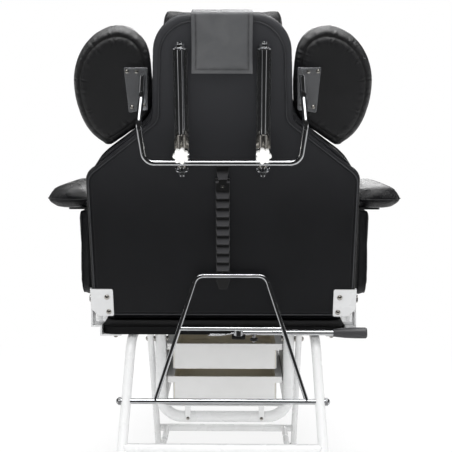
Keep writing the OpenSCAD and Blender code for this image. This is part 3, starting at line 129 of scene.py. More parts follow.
scene.world = bpy.data.worlds.new("studio")
room = emptied(scene.world)
looking = axes(room, wire(room, "ShaderNodeTexCoord").outputs["Generated"])
forward = reckon(room, ramp(room, looking["Y"], *AHEAD_FADE), ramp(room, looking["Z"], *LOW_FADE))
overhead = reckon(room, ramp(room, looking["Z"], *CEILING_FADE), ROOM_OVER)
bright = reckon(room, forward, overhead, "MAXIMUM")
rays = wire(room, "ShaderNodeLightPath").outputs
plated = reckon(room, reckon(room, bright, 1.0 - ROOM_DARK), ROOM_DARK, "ADD")
mirrored_ray = reckon(room, rays["Is Glossy Ray"], rays["Is Transmission Ray"], "MAXIMUM")
level = blend(room, rays["Is Camera Ray"], blend(room, mirrored_ray, ROOM_SOFT, plated), 1.0)
glow = wire(room, "ShaderNodeBackground", {"Color": (1, 1, 1, 1), "Strength": level})
wire(room, "ShaderNodeOutputWorld", {"Surface": glow.outputs[0]})

FLOOR_HALF, FLOOR_TONE = 9.0, 0.86
MIRRORED_TONE, MIRRORED_FADE = (0.02, 0.50), (-1.9, -0.8)  # what plating shows of the floor, from behind on
WHITE_SHARE, SHADOW_FADE = (0.66, 1.0), (0.75, 1.7)  # how much of the shadow is washed out, from the chair on
floor_mesh = bpy.data.meshes.new("floor")
floor_mesh.from_pydata([(x * FLOOR_HALF, y * FLOOR_HALF, 0) for x, y in ((-1, -1), (1, -1), (1, 1), (-1, 1))],
                       [], [(0, 1, 2, 3)])
floor = add("floor", floor_mesh)
floor_paint = bpy.data.materials.new("floor_paint")
tree = emptied(floor_paint)
place = wire(tree, "ShaderNodeTexCoord").outputs["Object"]
behind = axes(tree, place)["Y"]
mirrored_tone = ramp(tree, behind, *MIRRORED_FADE, *MIRRORED_TONE)
rays = wire(tree, "ShaderNodeLightPath").outputs
tone = blend(tree, rays["Is Glossy Ray"], FLOOR_TONE, mirrored_tone)
shade = wire(tree, "ShaderNodeCombineColor", {0: tone, 1: tone, 2: tone})
lit = wire(tree, "ShaderNodeBsdfDiffuse", {"Color": shade.outputs[0]})
white = wire(tree, "ShaderNodeEmission", {"Color": (1, 1, 1, 1), "Strength": 1.0})
away = wire(tree, "ShaderNodeVectorMath", {0: place}, operation="LENGTH").outputs["Value"]
share = reckon(tree, rays["Is Camera Ray"], ramp(tree, away, *SHADOW_FADE, *WHITE_SHARE))
mixed = wire(tree, "ShaderNodeMixShader", {0: share, 1: lit.outputs[0], 2: white.outputs[0]})
wire(tree, "ShaderNodeOutputMaterial", {"Surface": mixed.outputs[0]})
floor_mesh.materials.append(floor_paint)

for name, at, aim, size, power in (
        ("lamp_left", (-1.7, -1.9, 2.5), (0, -0.3, 0.9), 1.4, 11),
        ("lamp_right", (1.8, -1.8, 2.4), (0, -0.3, 0.9), 1.4, 8),
        ("lamp_back", (0.1, -2.1, 0.80), (0, 0.1, 0.40), 0.9, 6.5),
        ("lamp_over", (0.0, -0.2, 3.2), (0, 0.1, 0.6), 1.8, 38),
        ("lamp_front", (0.6, 3.0, 2.3), (0, 0, 0.7), 1.8, 46)):
    lamp = add(name, bpy.data.lights.new(name, "AREA"))
    lamp.data.shape, lamp.data.size, lamp.data.energy = "DISK", size, power
    lamp.location = at
    lamp.visible_glossy = name in ("lamp_over", "lamp_front")
    lamp.rotation_mode = "QUATERNION"
    lamp.rotation_quaternion = (Vector(aim) - Vector(at)).to_track_quat("-Z", "Y")


# ---- White steel frame
# Bent and welded tubes and brackets are powder coated in gloss white. The hinge plates have the same white,
# painted greyer as painted shade. The coat has a fine orange skin, and dust settles on it near the floor.
def effect(name, inputs, outputs):
    """A shader node group: its tree, what comes in and what goes out."""
    group = bpy.data.node_groups.new(name, "ShaderNodeTree")
    for label, kind, value in inputs:
        group.interface.new_socket(label, in_out="INPUT", socket_type=kind).default_value = value
    for label, kind in outputs:
        group.interface.new_socket(label, in_out="OUTPUT", socket_type=kind)
    return group, group.nodes.new("NodeGroupInput").outputs, group.nodes.new("NodeGroupOutput").inputs


def use_effect(tree, group, into):
    return wire(tree, "ShaderNodeGroup", into, node_tree=group).outputs


def noise(tree, place, size, detail, twist=0.0):
    return wire(tree, "ShaderNodeTexNoise", {
        "Vector": place, "Scale": size, "Detail": detail, "Distortion": twist}).outputs[0]


FLOAT, VECTOR = "NodeSocketFloat", "NodeSocketVector"
orange_skin, given, result = effect(
    "orange_skin", [("Place", VECTOR, (0, 0, 0)), ("Size", FLOAT, 500.0)],
    [("Height", FLOAT), ("Clouds", FLOAT)])
CLOUD_SIZE, CLOUD_FADE = 11.0, (0.35, 0.72)
feed(orange_skin, result["Height"], noise(orange_skin, given["Place"], given["Size"], 2.0))
wide = noise(orange_skin, given["Place"], CLOUD_SIZE, 4.0)
feed(orange_skin, result["Clouds"], ramp(orange_skin, wide, *CLOUD_FADE))

edge_rub, given, result = effect("edge_rub", [("Reach", FLOAT, 0.001)], [("Mask", FLOAT), ("Normal", VECTOR)])
RUB_FADE = (0.985, 0.86)  # how far the rounded normal leans from the face's own
rounded = wire(edge_rub, "ShaderNodeBevel", {"Radius": given["Reach"]}, samples=4).outputs[0]
plain = wire(edge_rub, "ShaderNodeNewGeometry").outputs["Normal"]
same = wire(edge_rub, "ShaderNodeVectorMath", {0: rounded, 1: plain}, operation="DOT_PRODUCT").outputs["Value"]
feed(edge_rub, result["Mask"], ramp(edge_rub, same, *RUB_FADE))
feed(edge_rub, result["Normal"], rounded)


def new_finish(name):
    """An empty material: its tree, its shader and the place on the piece."""
    material = bpy.data.materials.new(name)
    tree = emptied(material)
    shader = wire(tree, "ShaderNodeBsdfPrincipled")
    wire(tree, "ShaderNodeOutputMaterial", {"Surface": shader.outputs[0]})
    return material, tree, shader, wire(tree, "ShaderNodeTexCoord").outputs["Object"]


def set_into(tree, shader, values):
    for name, value in values.items():
        feed(tree, shader.inputs[name], value)


def tint(tree, factor, a, b):
    """Goes from one colour to another."""
    return wire(tree, "ShaderNodeMix", {0: factor, 6: a, 7: b}, data_type="RGBA").outputs[2]


def bump(tree, height, depth, normal=None):
    made = wire(tree, "ShaderNodeBump", {"Height": height, "Distance": depth, "Strength": 1.0})
    if normal is not None:
        feed(tree, made.inputs["Normal"], normal)
    return made.outputs[0]


DUST, BARE_EDGE = (0.52, 0.49, 0.44, 1), (0.35, 0.34, 0.33, 1)
DUST_TOP, DUST_SHARE, RUB_SHARE = 0.16, 0.35, 0.10


def powder_coat(name, colour, shade):
    """Baked powder paint: a fine skin, rubbed edges, and dust towards the floor."""
    made, tree, shader, place = new_finish(name)
    skin = use_effect(tree, orange_skin, {"Place": place, "Size": 420.0})
    rub = use_effect(tree, edge_rub, {"Reach": 0.0012})
    low = axes(tree, place)["Z"]
    dusty = reckon(tree, ramp(tree, low, DUST_TOP, 0.0, 0.0, DUST_SHARE), skin["Clouds"])
    paint = tint(tree, reckon(tree, skin["Clouds"], 0.5), colour, shade)
    paint = tint(tree, dusty, paint, DUST)
    paint = tint(tree, reckon(tree, rub["Mask"], RUB_SHARE), paint, BARE_EDGE)
    set_into(tree, shader, {
        "Base Color": paint, "Roughness": ramp(tree, skin["Clouds"], 0, 1, 0.24, 0.34),
        "Normal": bump(tree, skin["Height"], 0.00012, rub["Normal"]),
        "Coat Weight": 0.25, "Coat Roughness": 0.12})
    return made


tube_coat = powder_coat("white_coat", (0.84, 0.845, 0.845, 1), (0.80, 0.805, 0.81, 1))
# the hinge plates' copy of the white is painted greyer: painted shade, not a different paint
plate_coat = powder_coat("plate_coat", (0.655, 0.66, 0.665, 1), (0.62, 0.625, 0.63, 1))


def coat_with(mesh, material):
    mesh.materials.clear()
    mesh.materials.append(material)


def dress(material, *names):
    """Gives CAD nodes that keep their own shape a finish."""
    for name in names:
        coat_with(nodes[name].data, material)


dress(tube_coat, "rear_leg_left", "rear_leg_right", "seat_rail_left", "seat_rail_right", "front_leg_left",
      "front_leg_right", "rear_cross_tubes", "front_cross_tube", "stretchers", "seat_cross_tube", "tray_hanger",
      "tray_bracket", "tray_runner_left", "tray_runner_right", "arm_sockets", "leg_rest_bracket")
dress(plate_coat, "seat_hinge_left", "seat_hinge_right", "back_hinge_left", "back_hinge_right")


# ---- Rubber feet
# Black sleeves pushed over the leg ends, dull, with moulding haze and dust in their pores.
feet, tree, shader, place = new_finish("foot_rubber")
skin = use_effect(tree, orange_skin, {"Place": place, "Size": 260.0})
set_into(tree, shader, {
    "Base Color": tint(tree, skin["Clouds"], (0.018, 0.018, 0.019, 1), (0.055, 0.053, 0.05, 1)),
    "Roughness": 0.78, "Normal": bump(tree, skin["Height"], 0.0003)})
dress(feet, "foot_caps")


# ---- Chromed and bright steel
# Rods, screws and slides are plated: a mirror skin with faint clouds and a few fine scratches.
# The plates on the side pads are polished sheet, duller than the rods.
fine_lines, given, result = effect(
    "fine_lines", [("Place", VECTOR, (0, 0, 0)), ("Stretch", VECTOR, (1, 1, 1)), ("Size", FLOAT, 200.0)],
    [("Height", FLOAT)])
drawn = wire(fine_lines, "ShaderNodeVectorMath", {0: given["Place"], 1: given["Stretch"]}, operation="MULTIPLY")
feed(fine_lines, result["Height"], noise(fine_lines, drawn.outputs[0], given["Size"], 3.0))


def bright_metal(name, colour, shade, rough_low, rough_high, depth, rub_reach, metallic=1.0):
    """Plated or polished metal: clouds in its tone, scratches in its gloss, rubbed edges."""
    made, tree, shader, place = new_finish(name)
    skin = use_effect(tree, orange_skin, {"Place": place, "Size": 90.0})
    lines = use_effect(tree, fine_lines, {"Place": place, "Size": 260.0})
    rub = use_effect(tree, edge_rub, {"Reach": rub_reach})
    set_into(tree, shader, {
        "Base Color": tint(tree, skin["Clouds"], colour, shade), "Metallic": metallic,
        "Roughness": ramp(tree, lines["Height"], 0.3, 0.75, rough_low, rough_high),
        "Normal": bump(tree, lines["Height"], depth, rub["Normal"])})
    return made


chrome = bright_metal("chrome_plate", (0.80, 0.81, 0.83, 1), (0.70, 0.71, 0.73, 1), 0.05, 0.12, 0.00002, 0.0006)
nickel = bright_metal("nickel_plate", (0.78, 0.75, 0.70, 1), (0.62, 0.59, 0.54, 1), 0.12, 0.26, 0.00004, 0.0008)
polished = bright_metal("polished_sheet", (0.52, 0.53, 0.55, 1), (0.40, 0.41, 0.43, 1), 0.16, 0.26, 0.00002,
                        0.0012, metallic=0.86)
dress(chrome, "prop", "prop_cap_nuts", "head_frame_rod", "guide_rods", "arm_frame_left", "arm_frame_right",
      "lever_rod", "guide_channel_left", "guide_channel_right")
dress(polished, "pad_plate_left", "pad_plate_right")
dress(nickel, "frame_bolts", "pivot_bolts", "back_screws", "pad_screws", "slider_left", "slider_right")


# ---- Brake rod and lever bracket under the seat
# A plain steel rod that the lever pulls off the drum of the leg rest, and the small angle that carries the
# lever. Both are given a blackened finish; on the angle it is painted shade for the shade it sits in under the
# seat.
def streaked(name, size, dark, light, depth, values, stretch=(1, 1, 1)):
    """A finish whose tone and relief both follow the fine lines."""
    made, tree, shader, place = new_finish(name)
    lines = use_effect(tree, fine_lines, {"Place": place, "Stretch": stretch, "Size": size})["Height"]
    set_into(tree, shader, {"Base Color": tint(tree, lines, dark, light), "Normal": bump(tree, lines, depth)})
    set_into(tree, shader, values)
    return made


# the rod is blackened steel; on the lever bracket this dark finish is painted shade
dress(streaked("blackened_steel", 400.0, (0.03, 0.03, 0.032, 1), (0.11, 0.105, 0.1, 1), 0.00005,
               {"Metallic": 0.85, "Roughness": 0.42}, stretch=(1, 0.05, 1)), "release_rod", "lever_bracket")


# ---- Black plastic rack and lever grip
# Both are moulded: the rack in a satin black with rubbed tooth edges and painted shade in the grooves between
# its teeth, the grip a little softer.
# The star knobs beside the head frame are the same plastic in white.
CLOUD_LIFT, GROOVE_PAINTED_SHADE = 1.35, (0.004, 0.004, 0.0042, 1)


def moulded(name, colour, worn, roughness, size, depth, shade_plane=None):
    """Moulded plastic; the last argument gives a plane (direction and two distances) between which painted
    shade darkens it.
    """
    made, tree, shader, place = new_finish(name)
    skin = use_effect(tree, orange_skin, {"Place": place, "Size": size})
    rub = use_effect(tree, edge_rub, {"Reach": 0.0012})
    tone = tint(tree, skin["Clouds"], colour, tuple(c * CLOUD_LIFT for c in colour[:3]) + (1,))
    if shade_plane:
        way, shallow, deep = shade_plane
        out = wire(tree, "ShaderNodeVectorMath", {0: place, 1: way}, operation="DOT_PRODUCT").outputs["Value"]
        # painted shade: the plastic darkens towards the base plate, in the grooves between the teeth
        tone = tint(tree, ramp(tree, out, shallow, deep), tone, GROOVE_PAINTED_SHADE)
    set_into(tree, shader, {
        "Base Color": tint(tree, reckon(tree, rub["Mask"], 0.45), tone, worn),
        "Roughness": ramp(tree, skin["Clouds"], 0, 1, roughness, roughness + 0.08),
        "Normal": bump(tree, skin["Height"], depth, rub["Normal"])})
    return made


# painted shade in the grooves: it lies between the teeth's faces and the base plate, measured straight into the
# back
LEAN = math.radians(13)
INTO_BACK = (0, math.cos(LEAN), math.sin(LEAN))
rack_face = min(Vector(v.co).dot(INTO_BACK) for v in nodes["rack"].data.vertices)
dress(moulded("rack_plastic", (0.040, 0.040, 0.043, 1), (0.20, 0.20, 0.205, 1), 0.34, 900.0, 0.00006,
              (INTO_BACK, rack_face + 0.0015, rack_face + 0.0055)), "rack")
dress(moulded("grip_plastic", (0.045, 0.045, 0.048, 1), (0.10, 0.10, 0.10, 1), 0.45, 1300.0, 0.00012),
      "lever_grip")
dress(moulded("knob_plastic", (0.82, 0.82, 0.80, 1), (0.9, 0.9, 0.9, 1), 0.3, 700.0, 0.00004),
      "star_knob_left", "star_knob_right")


# ---- Trays
# Two drawers pressed from white sheet plastic with a folded rim. Inside they are lined in a
# khaki that shows between them.
TRAY_HALF = 0.1305  # half of the width inside the walls
WALL, RIM = (0.0018, 0.0024), (0.0005, 0.0015)  # where the lining fades in behind a wall and below the rim
TRAY_WHITE, TRAY_SHADE, LINING = (0.84, 0.84, 0.835, 1), (0.77, 0.77, 0.76, 1), (0.80, 0.74, 0.60, 1)
for name in ("upper_tray", "lower_tray"):
    low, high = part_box(name)
    made, tree, shader, place = new_finish(name + "_finish")
    skin = use_effect(tree, orange_skin, {"Place": place, "Size": 380.0})
    rub = use_effect(tree, edge_rub, {"Reach": 0.0014})
    at = axes(tree, place)
    side = wire(tree, "ShaderNodeMath", {0: at["X"]}, operation="ABSOLUTE").outputs[0]
    inside = ramp(tree, side, TRAY_HALF + 0.0012, TRAY_HALF + 0.0006)
    for way, start, sign, fade in (("Y", low.y, 1, WALL), ("Y", high.y, -1, WALL), ("Z", low.z, 1, WALL),
                                   ("Z", high.z, -1, RIM)):
        inside = reckon(tree, inside, ramp(tree, at[way], start + sign * fade[0], start + sign * fade[1]))
    tone = tint(tree, reckon(tree, skin["Clouds"], 0.6), TRAY_WHITE, TRAY_SHADE)
    set_into(tree, shader, {
        "Base Color": tint(tree, inside, tone, LINING),
        "Roughness": ramp(tree, inside, 0, 1, 0.3, 0.6),
        "Normal": bump(tree, skin["Height"], 0.0001, rub["Normal"])})
    dress(made, name)


# ---- Boards under the seat and the leg rest
# Plywood wrapped in black non-woven cloth, stapled along its edge. The cloth's black is made darker still as
# painted shade for the shadow under the back.
dress(streaked("board_cloth", 900.0, (0.003, 0.003, 0.0034, 1), (0.009, 0.009, 0.0095, 1), 0.0003,
               {"Roughness": 0.85, "Specular IOR Level": 0.2}), "seat_board", "leg_rest_board")


# ---- Seat cushion
# Foam on the seat board under a black vinyl cover, with a band round the side between two welts
# and two sewn channels across the top.
hide, given, result = effect(
    "hide_grain", [("Place", VECTOR, (0, 0, 0)), ("Size", FLOAT, 800.0), ("Crease", FLOAT, 0.4)],
    [("Height", FLOAT), ("Tone", FLOAT)])
PEBBLE_EDGE, PULL_SIZE = (0.0, 0.22), 16.0
cells = wire(hide, "ShaderNodeTexVoronoi", {"Vector": given["Place"], "Scale": given["Size"]},
             feature="DISTANCE_TO_EDGE")
pebbles = ramp(hide, cells.outputs["Distance"], *PEBBLE_EDGE)
pull = noise(hide, given["Place"], PULL_SIZE, 4.0, 0.4)
soft_pull = reckon(hide, ramp(hide, pull, 0.3, 0.75), given["Crease"])
feed(hide, result["Height"], reckon(hide, pebbles, soft_pull, "ADD"))
feed(hide, result["Tone"], ramp(hide, pull, 0.3, 0.8))

# The first grey and its two heights are painted light: the vinyl greys upwards as if lit more from above.
PAINTED_LIGHT_GREY, PAINTED_LIGHT_RISE, SEAM_DIRT = (0.033, 0.034, 0.038, 1), (0.72, 1.16), (0.004, 0.004, 0.004, 1)


def vinyl(name, colour, sheen, roughness, crease, seam_dark=0.0, painted_light=0.0, gloss=0.36):
    """Black vinyl with a fine pebbled grain, painted lighter towards the top as painted light from the lamps
    above. The attribute named seam darkens the seams."""
    made, tree, shader, place = new_finish(name)
    grain = use_effect(tree, hide, {"Place": place, "Size": 900.0, "Crease": crease})
    tone = tint(tree, grain["Tone"], colour, sheen)
    height = axes(tree, place)["Z"]
    # painted light: greyer with height
    tone = tint(tree, ramp(tree, height, *PAINTED_LIGHT_RISE, 0.0, painted_light), tone, PAINTED_LIGHT_GREY)
    seam = wire(tree, "ShaderNodeAttribute", attribute_name="seam").outputs["Fac"]
    tone = tint(tree, reckon(tree, seam, seam_dark), tone, SEAM_DIRT)
    set_into(tree, shader, {
        "Base Color": tone, "Roughness": ramp(tree, grain["Tone"], 0, 1, roughness, roughness + 0.09),
        "Specular IOR Level": gloss, "Normal": bump(tree, grain["Height"], 0.00018)})
    return made


black_vinyl = vinyl("black_vinyl", (0.0060, 0.0062, 0.0074, 1), (0.0085, 0.0088, 0.0104, 1), 0.38, 0.6,
                    seam_dark=0.6, painted_light=0.9)
welt_vinyl = vinyl("welt_vinyl", (0.007, 0.0072, 0.0084, 1), (0.012, 0.0123, 0.014, 1), 0.30, 0.2)
thread = streaked("black_thread", 2500.0, (0.010, 0.010, 0.011, 1), (0.05, 0.05, 0.052, 1), 0.0001,
                  {"Roughness": 0.6})


def points_of(obj, what="co"):
    """The places of a piece's points, or their normals."""
    flat = np.empty(len(obj.data.vertices) * 3)
    obj.data.vertices.foreach_get(what, flat)
    return flat.reshape(-1, 3)


def put_points(obj, points):
    obj.data.vertices.foreach_set("co", np.ascontiguousarray(points, float).ravel())
    obj.data.update()


def new_piece(name, mesh, material=None):
    obj = add(name, mesh)
    mesh.name = name
    if material:
        coat_with(mesh, material)
    return obj


def as_it_is_now(obj):
    """The object with what its modifiers do to it."""
    return obj.evaluated_get(bpy.context.evaluated_depsgraph_get())


def plain_mesh(obj):
    """A smooth-shaded mesh of an object as it is now."""
    bpy.context.view_layer.update()
    mesh = bpy.data.meshes.new_from_object(as_it_is_now(obj))
    mesh.polygons.foreach_set("use_smooth", [True] * len(mesh.polygons))
    return mesh


def settle(obj):
    """Applies what the modifiers do to the mesh."""
    made = plain_mesh(obj)
    obj.modifiers.clear()
    old, obj.data = obj.data, made
    made.name = obj.name
    bpy.data.meshes.remove(old)


def reworked(name, mesh, change):
    """A new piece from a mesh, after a change made to its bmesh."""
    bm = bmesh.new()
    bm.from_mesh(mesh)
    change(bm)
    made = bpy.data.meshes.new(name)
    bm.to_mesh(made)
    bm.free()
    return new_piece(name, made)


def merge_doubles(bm):
    bmesh.ops.remove_doubles(bm, verts=bm.verts, dist=1e-5)


def smoothed(obj, factor, times):
    even = obj.modifiers.new("smooth", "SMOOTH")
    even.factor, even.iterations = factor, times


CLOTH_FRAMES = 20


def plump(name, node, voxel, take_in, cap, glued_where):
    """The padded cover that stands for a node: its form turned into cloth and filled with air, each
    point kept within cap of its start, then stretched evenly to the node's box. glued_where(points)
    picks the points that are glued to a board."""
    obj = reworked(name, nodes[node].data, merge_doubles)
    obj.modifiers.new("even", "REMESH").voxel_size = voxel
    settle(obj)
    points, normals = points_of(obj), points_of(obj, "normal")
    glued = glued_where(points)
    start = points - normals * np.where(glued, 0.0, take_in)[:, None]
    put_points(obj, start)
    group = obj.vertex_groups.new(name="glued")
    group.add([int(i) for i in np.nonzero(glued)[0]], 1.0, "REPLACE")
    cloth = obj.modifiers.new("cover", "CLOTH")
    cover = cloth.settings
    cover.quality, cover.mass = 4, 0.25
    cover.tension_stiffness = cover.compression_stiffness = 18
    cover.shear_stiffness, cover.bending_stiffness = 6, 0.6
    cover.use_pressure, cover.uniform_pressure_force = True, 4.0
    cover.effector_weights.gravity = 0
    cover.vertex_group_mass = "glued"
    cloth.collision_settings.use_collision = cloth.collision_settings.use_self_collision = False
    cloth.point_cache.frame_start, cloth.point_cache.frame_end = 1, CLOTH_FRAMES
    for step in range(1, CLOTH_FRAMES + 1):
        scene.frame_set(step)
    filled = points_of(as_it_is_now(obj))
    obj.modifiers.clear()
    obj.vertex_groups.clear()
    scene.frame_set(1)
    move = filled - start
    far = np.linalg.norm(move, axis=1, keepdims=True)
    start = start + move * np.minimum(1.0, cap / np.maximum(far, 1e-9))
    put_points(obj, start)
    smoothed(obj, 0.4, 3)
    finer = obj.modifiers.new("finer", "SUBSURF")
    finer.levels = finer.render_levels = 1
    settle(obj)
    low, high = (np.array(tuple(corner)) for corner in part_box(node))
    points = points_of(obj)
    near, far = points.min(axis=0), points.max(axis=0)
    put_points(obj, low + (points - near) / (far - near) * (high - low))
    return obj


LINE_STEP = 0.004


def cut_line(obj, at, across):
    """The line in which a plane cuts a closed piece, as evenly spaced points."""
    bm = bmesh.new()
    bm.from_mesh(obj.data)
    cut = bmesh.ops.bisect_plane(bm, geom=bm.verts[:] + bm.edges[:] + bm.faces[:], plane_co=at,
                                 plane_no=across, dist=1e-7)
    edges = [e for e in cut["geom_cut"] if isinstance(e, bmesh.types.BMEdge)]
    after = {}
    for e in edges:
        a, b = e.verts
        after.setdefault(a, []).append(b)
        after.setdefault(b, []).append(a)
    best, used = [], set()
    for first in after:
        if first in used:
            continue
        line, now = [], first
        while now is not None and now not in used:
            used.add(now)
            line.append(now.co.copy())
            now = next((v for v in after[now] if v not in used), None)
        if len(line) > len(best):
            best = line
    bm.free()
    return even_line(best)


def run_of(line):
    """How far along a line each of its points is."""
    return np.concatenate([[0], np.cumsum(np.linalg.norm(np.diff(line, axis=0), axis=1))])


def evened(row, times):
    """A closed row of points, each drawn towards its two neighbours, some times over."""
    for _ in range(times):
        row = 0.5 * row + 0.25 * (np.roll(row, 1, 0) + np.roll(row, -1, 0))
    return row


def even_line(line, step=LINE_STEP, closed=True, smooth=2):
    """A line's points at even distances, a little smoothed."""
    points = np.array([tuple(p) for p in line])
    if closed:
        points = np.vstack([points, points[:1]])
    run = run_of(points)
    count = max(8, round(run[-1] / step))
    at = np.linspace(0, run[-1], count, endpoint=not closed)
    even = np.stack([np.interp(at, run, points[:, k]) for k in range(3)], axis=1)
    return evened(even, smooth if closed else 0)


def trim(obj, body):
    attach(obj, body)


def welt(name, line, radius, body, material=welt_vinyl):
    """A cord covered in vinyl, sewn into a seam all along a line."""
    data = bpy.data.curves.new(name, "CURVE")
    data.dimensions, data.bevel_depth, data.bevel_resolution, data.use_fill_caps = "3D", radius, 2, True
    spline = data.splines.new("POLY")
    spline.points.add(len(line) - 1)
    spline.points.foreach_set("co", np.hstack([line, np.ones((len(line), 1))]).ravel())
    spline.use_cyclic_u = True
    rope = add(name + "_line", data)
    mesh = plain_mesh(rope)
    bpy.data.objects.remove(rope)
    bpy.data.curves.remove(data)
    trim(new_piece(name, mesh, material), body)


def nearest_on(line, points):
    """For each point, which point of a line is nearest, and how far away it is."""
    known = KDTree(len(line))
    for i, p in enumerate(line):
        known.insert(p, i)
    known.balance()
    found = [known.find(p) for p in points]
    return np.array([f[1] for f in found]), np.array([f[2] for f in found])


def sew(obj, line, depth, width, pucker=0.0, spacing=0.012, reach=0.02, marked=1.0):
    """Draws the cover in along a seam, with puckers beside it, and marks the seam for the finish."""
    points, normals = points_of(obj), points_of(obj, "normal")
    index, far = nearest_on(line, points)
    turns = 2 * np.pi * run_of(line)[index] / spacing
    wave = np.sin(turns + 1.7 * np.sin(turns / 5.3)) * (0.55 + 0.45 * np.sin(turns / 3.1 + 0.8))
    groove = np.exp(-(far / width) ** 2)
    move = -depth * groove + pucker * wave * np.exp(-(far / reach) ** 2) * (1 - groove)
    put_points(obj, points + normals * move[:, None])
    mark = obj.data.attributes.get("seam") or obj.data.attributes.new("seam", "FLOAT", "POINT")
    before = np.empty(len(points), np.float32)
    mark.data.foreach_get("value", before)
    dirt = marked * np.exp(-(far / (width * 0.7)) ** 2)
    mark.data.foreach_set("value", np.maximum(before, dirt).astype(np.float32))


def cover_up(obj, material, body, stands_for):
    """Gives a cover its vinyl and puts it in place of a CAD node."""
    coat_with(obj.data, material)
    trim(obj, body)
    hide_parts(stands_for)


def finish_padded(obj, material, body, stands_for):
    cover_up(obj, material, body, stands_for)


def row_along(name, form, settings):
    """Geometry Nodes that set one small form after another along a line."""
    group = bpy.data.node_groups.new(name, "GeometryNodeTree")
    sockets = {}
    for label, kind in (("Line", "NodeSocketGeometry"), ("Step", FLOAT), ("Size", VECTOR),
                        ("Finish", "NodeSocketMaterial")):
        sockets[label] = group.interface.new_socket(label, in_out="INPUT", socket_type=kind).identifier
    group.interface.new_socket("Row", in_out="OUTPUT", socket_type="NodeSocketGeometry")
    given, result = group.nodes.new("NodeGroupInput").outputs, group.nodes.new("NodeGroupOutput").inputs
    line = wire(group, "GeometryNodeMeshToCurve", {0: given["Line"]}).outputs[0]
    even = wire(group, "GeometryNodeResampleCurve", {"Curve": line, "Length": given["Step"]}, mode="LENGTH")
    ahead = wire(group, "GeometryNodeInputTangent").outputs[0]
    turned = wire(group, "FunctionNodeAlignRotationToVector", {"Vector": ahead}, axis="Z")
    placed = wire(group, "GeometryNodeInstanceOnPoints", {
        "Points": even.outputs[0], "Instance": wire(group, form, settings).outputs[0],
        "Rotation": turned.outputs[0], "Scale": given["Size"]})
    solid = wire(group, "GeometryNodeRealizeInstances", {0: placed.outputs[0]})
    dyed = wire(group, "GeometryNodeSetMaterial", {"Geometry": solid.outputs[0], "Material": given["Finish"]})
    feed(group, result[0], dyed.outputs[0])
    return group, sockets


thread_row = row_along("thread_row", "GeometryNodeMeshIcoSphere", {"Radius": 0.5, "Subdivisions": 2})


def set_along(name, line, body, step, size, row=thread_row, finish=thread, closed=False):
    """A row of stitches or staples along a line, made a plain mesh. size is across, up and along."""
    mesh = bpy.data.meshes.new(name)
    links = [(i, i + 1) for i in range(len(line) - 1)] + ([(len(line) - 1, 0)] if closed else [])
    mesh.from_pydata([tuple(p) for p in line], links, [])
    obj = new_piece(name, mesh)
    tree, sockets = row
    modifier = obj.modifiers.new("row", "NODES")
    modifier.node_group = tree
    for label, value in (("Step", step), ("Size", size), ("Finish", finish)):
        modifier[sockets[label]] = value
    settle(obj)
    trim(obj, body)


def laid_on(obj, starts, way, lift=0.0003):
    """Where straight lines from some places meet a piece, just above its surface."""
    faces = [tuple(f.vertices) for f in obj.data.polygons]
    surface, way = BVHTree.FromPolygons([tuple(p) for p in points_of(obj)], faces), Vector(way).normalized()
    hits = [surface.ray_cast(Vector(p), way) for p in starts]
    return np.array([tuple(h[0] + h[1] * lift) for h in hits if h[0] is not None])


def channel(obj, name, starts, way, body):
    """A sewn channel across a cushion, with its stitches at the bottom."""
    sew(obj, laid_on(obj, starts, way), depth=0.0030, width=0.0055, pucker=0.0012, spacing=0.017, reach=0.022)
    set_along(name, laid_on(obj, starts, way), body, step=0.0050, size=(0.0010, 0.0010, 0.0040))


UP, GLUED = (0, 0, 1), 0.004  # the cover is glued to its board up to this height
WELT, LOW_WELT = 0.0026, 0.0022  # their radii
SEAT_CHANNELS, SEAT_CHANNEL_HALF, OVER_SEAT = (-0.1024, 0.0441), 0.262, 0.9
SEAT_BAND, SEAT_LOW_BAND = 0.062, 0.006  # heights of the two welts above the board
seat_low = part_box("seat_cushion")[0].z
seat = plump("seat_cover", "seat_cushion", voxel=0.007, take_in=0.001, cap=0.006,
             glued_where=lambda p: p[:, 2] < seat_low + GLUED)
band = cut_line(seat, (0, 0, seat_low + SEAT_BAND), UP)
sew(seat, band, depth=0.0012, width=0.004)
for number, y in enumerate(SEAT_CHANNELS):
    starts = [(x, y, OVER_SEAT) for x in np.linspace(-SEAT_CHANNEL_HALF, SEAT_CHANNEL_HALF, 132)]
    channel(seat, "seat_stitches_%d" % number, starts, (0, 0, -1), "frame")
finish_padded(seat, black_vinyl, "frame", "seat_cushion")
welt("seat_welt", band, WELT, "frame")
low_band = cut_line(seat, (0, 0, seat_low + SEAT_LOW_BAND), UP)
welt("seat_low_welt", low_band, LOW_WELT, "frame")


# ---- Leg rest cushion
# Made as the seat is: foam under vinyl, narrower towards its free end, with the same welt.
LEG_BAND = 0.036
leg_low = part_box("leg_rest_cushion")[0].z
leg_rest = plump("leg_rest_cover", "leg_rest_cushion", voxel=0.007, take_in=0.001, cap=0.005,
                 glued_where=lambda p: p[:, 2] < leg_low + GLUED)
band = cut_line(leg_rest, (0, 0, leg_low + LEG_BAND), UP)
sew(leg_rest, band, depth=0.0012, width=0.004)
finish_padded(leg_rest, black_vinyl, "leg_rest", "leg_rest_cushion")
welt("leg_rest_welt", band, WELT, "leg_rest")


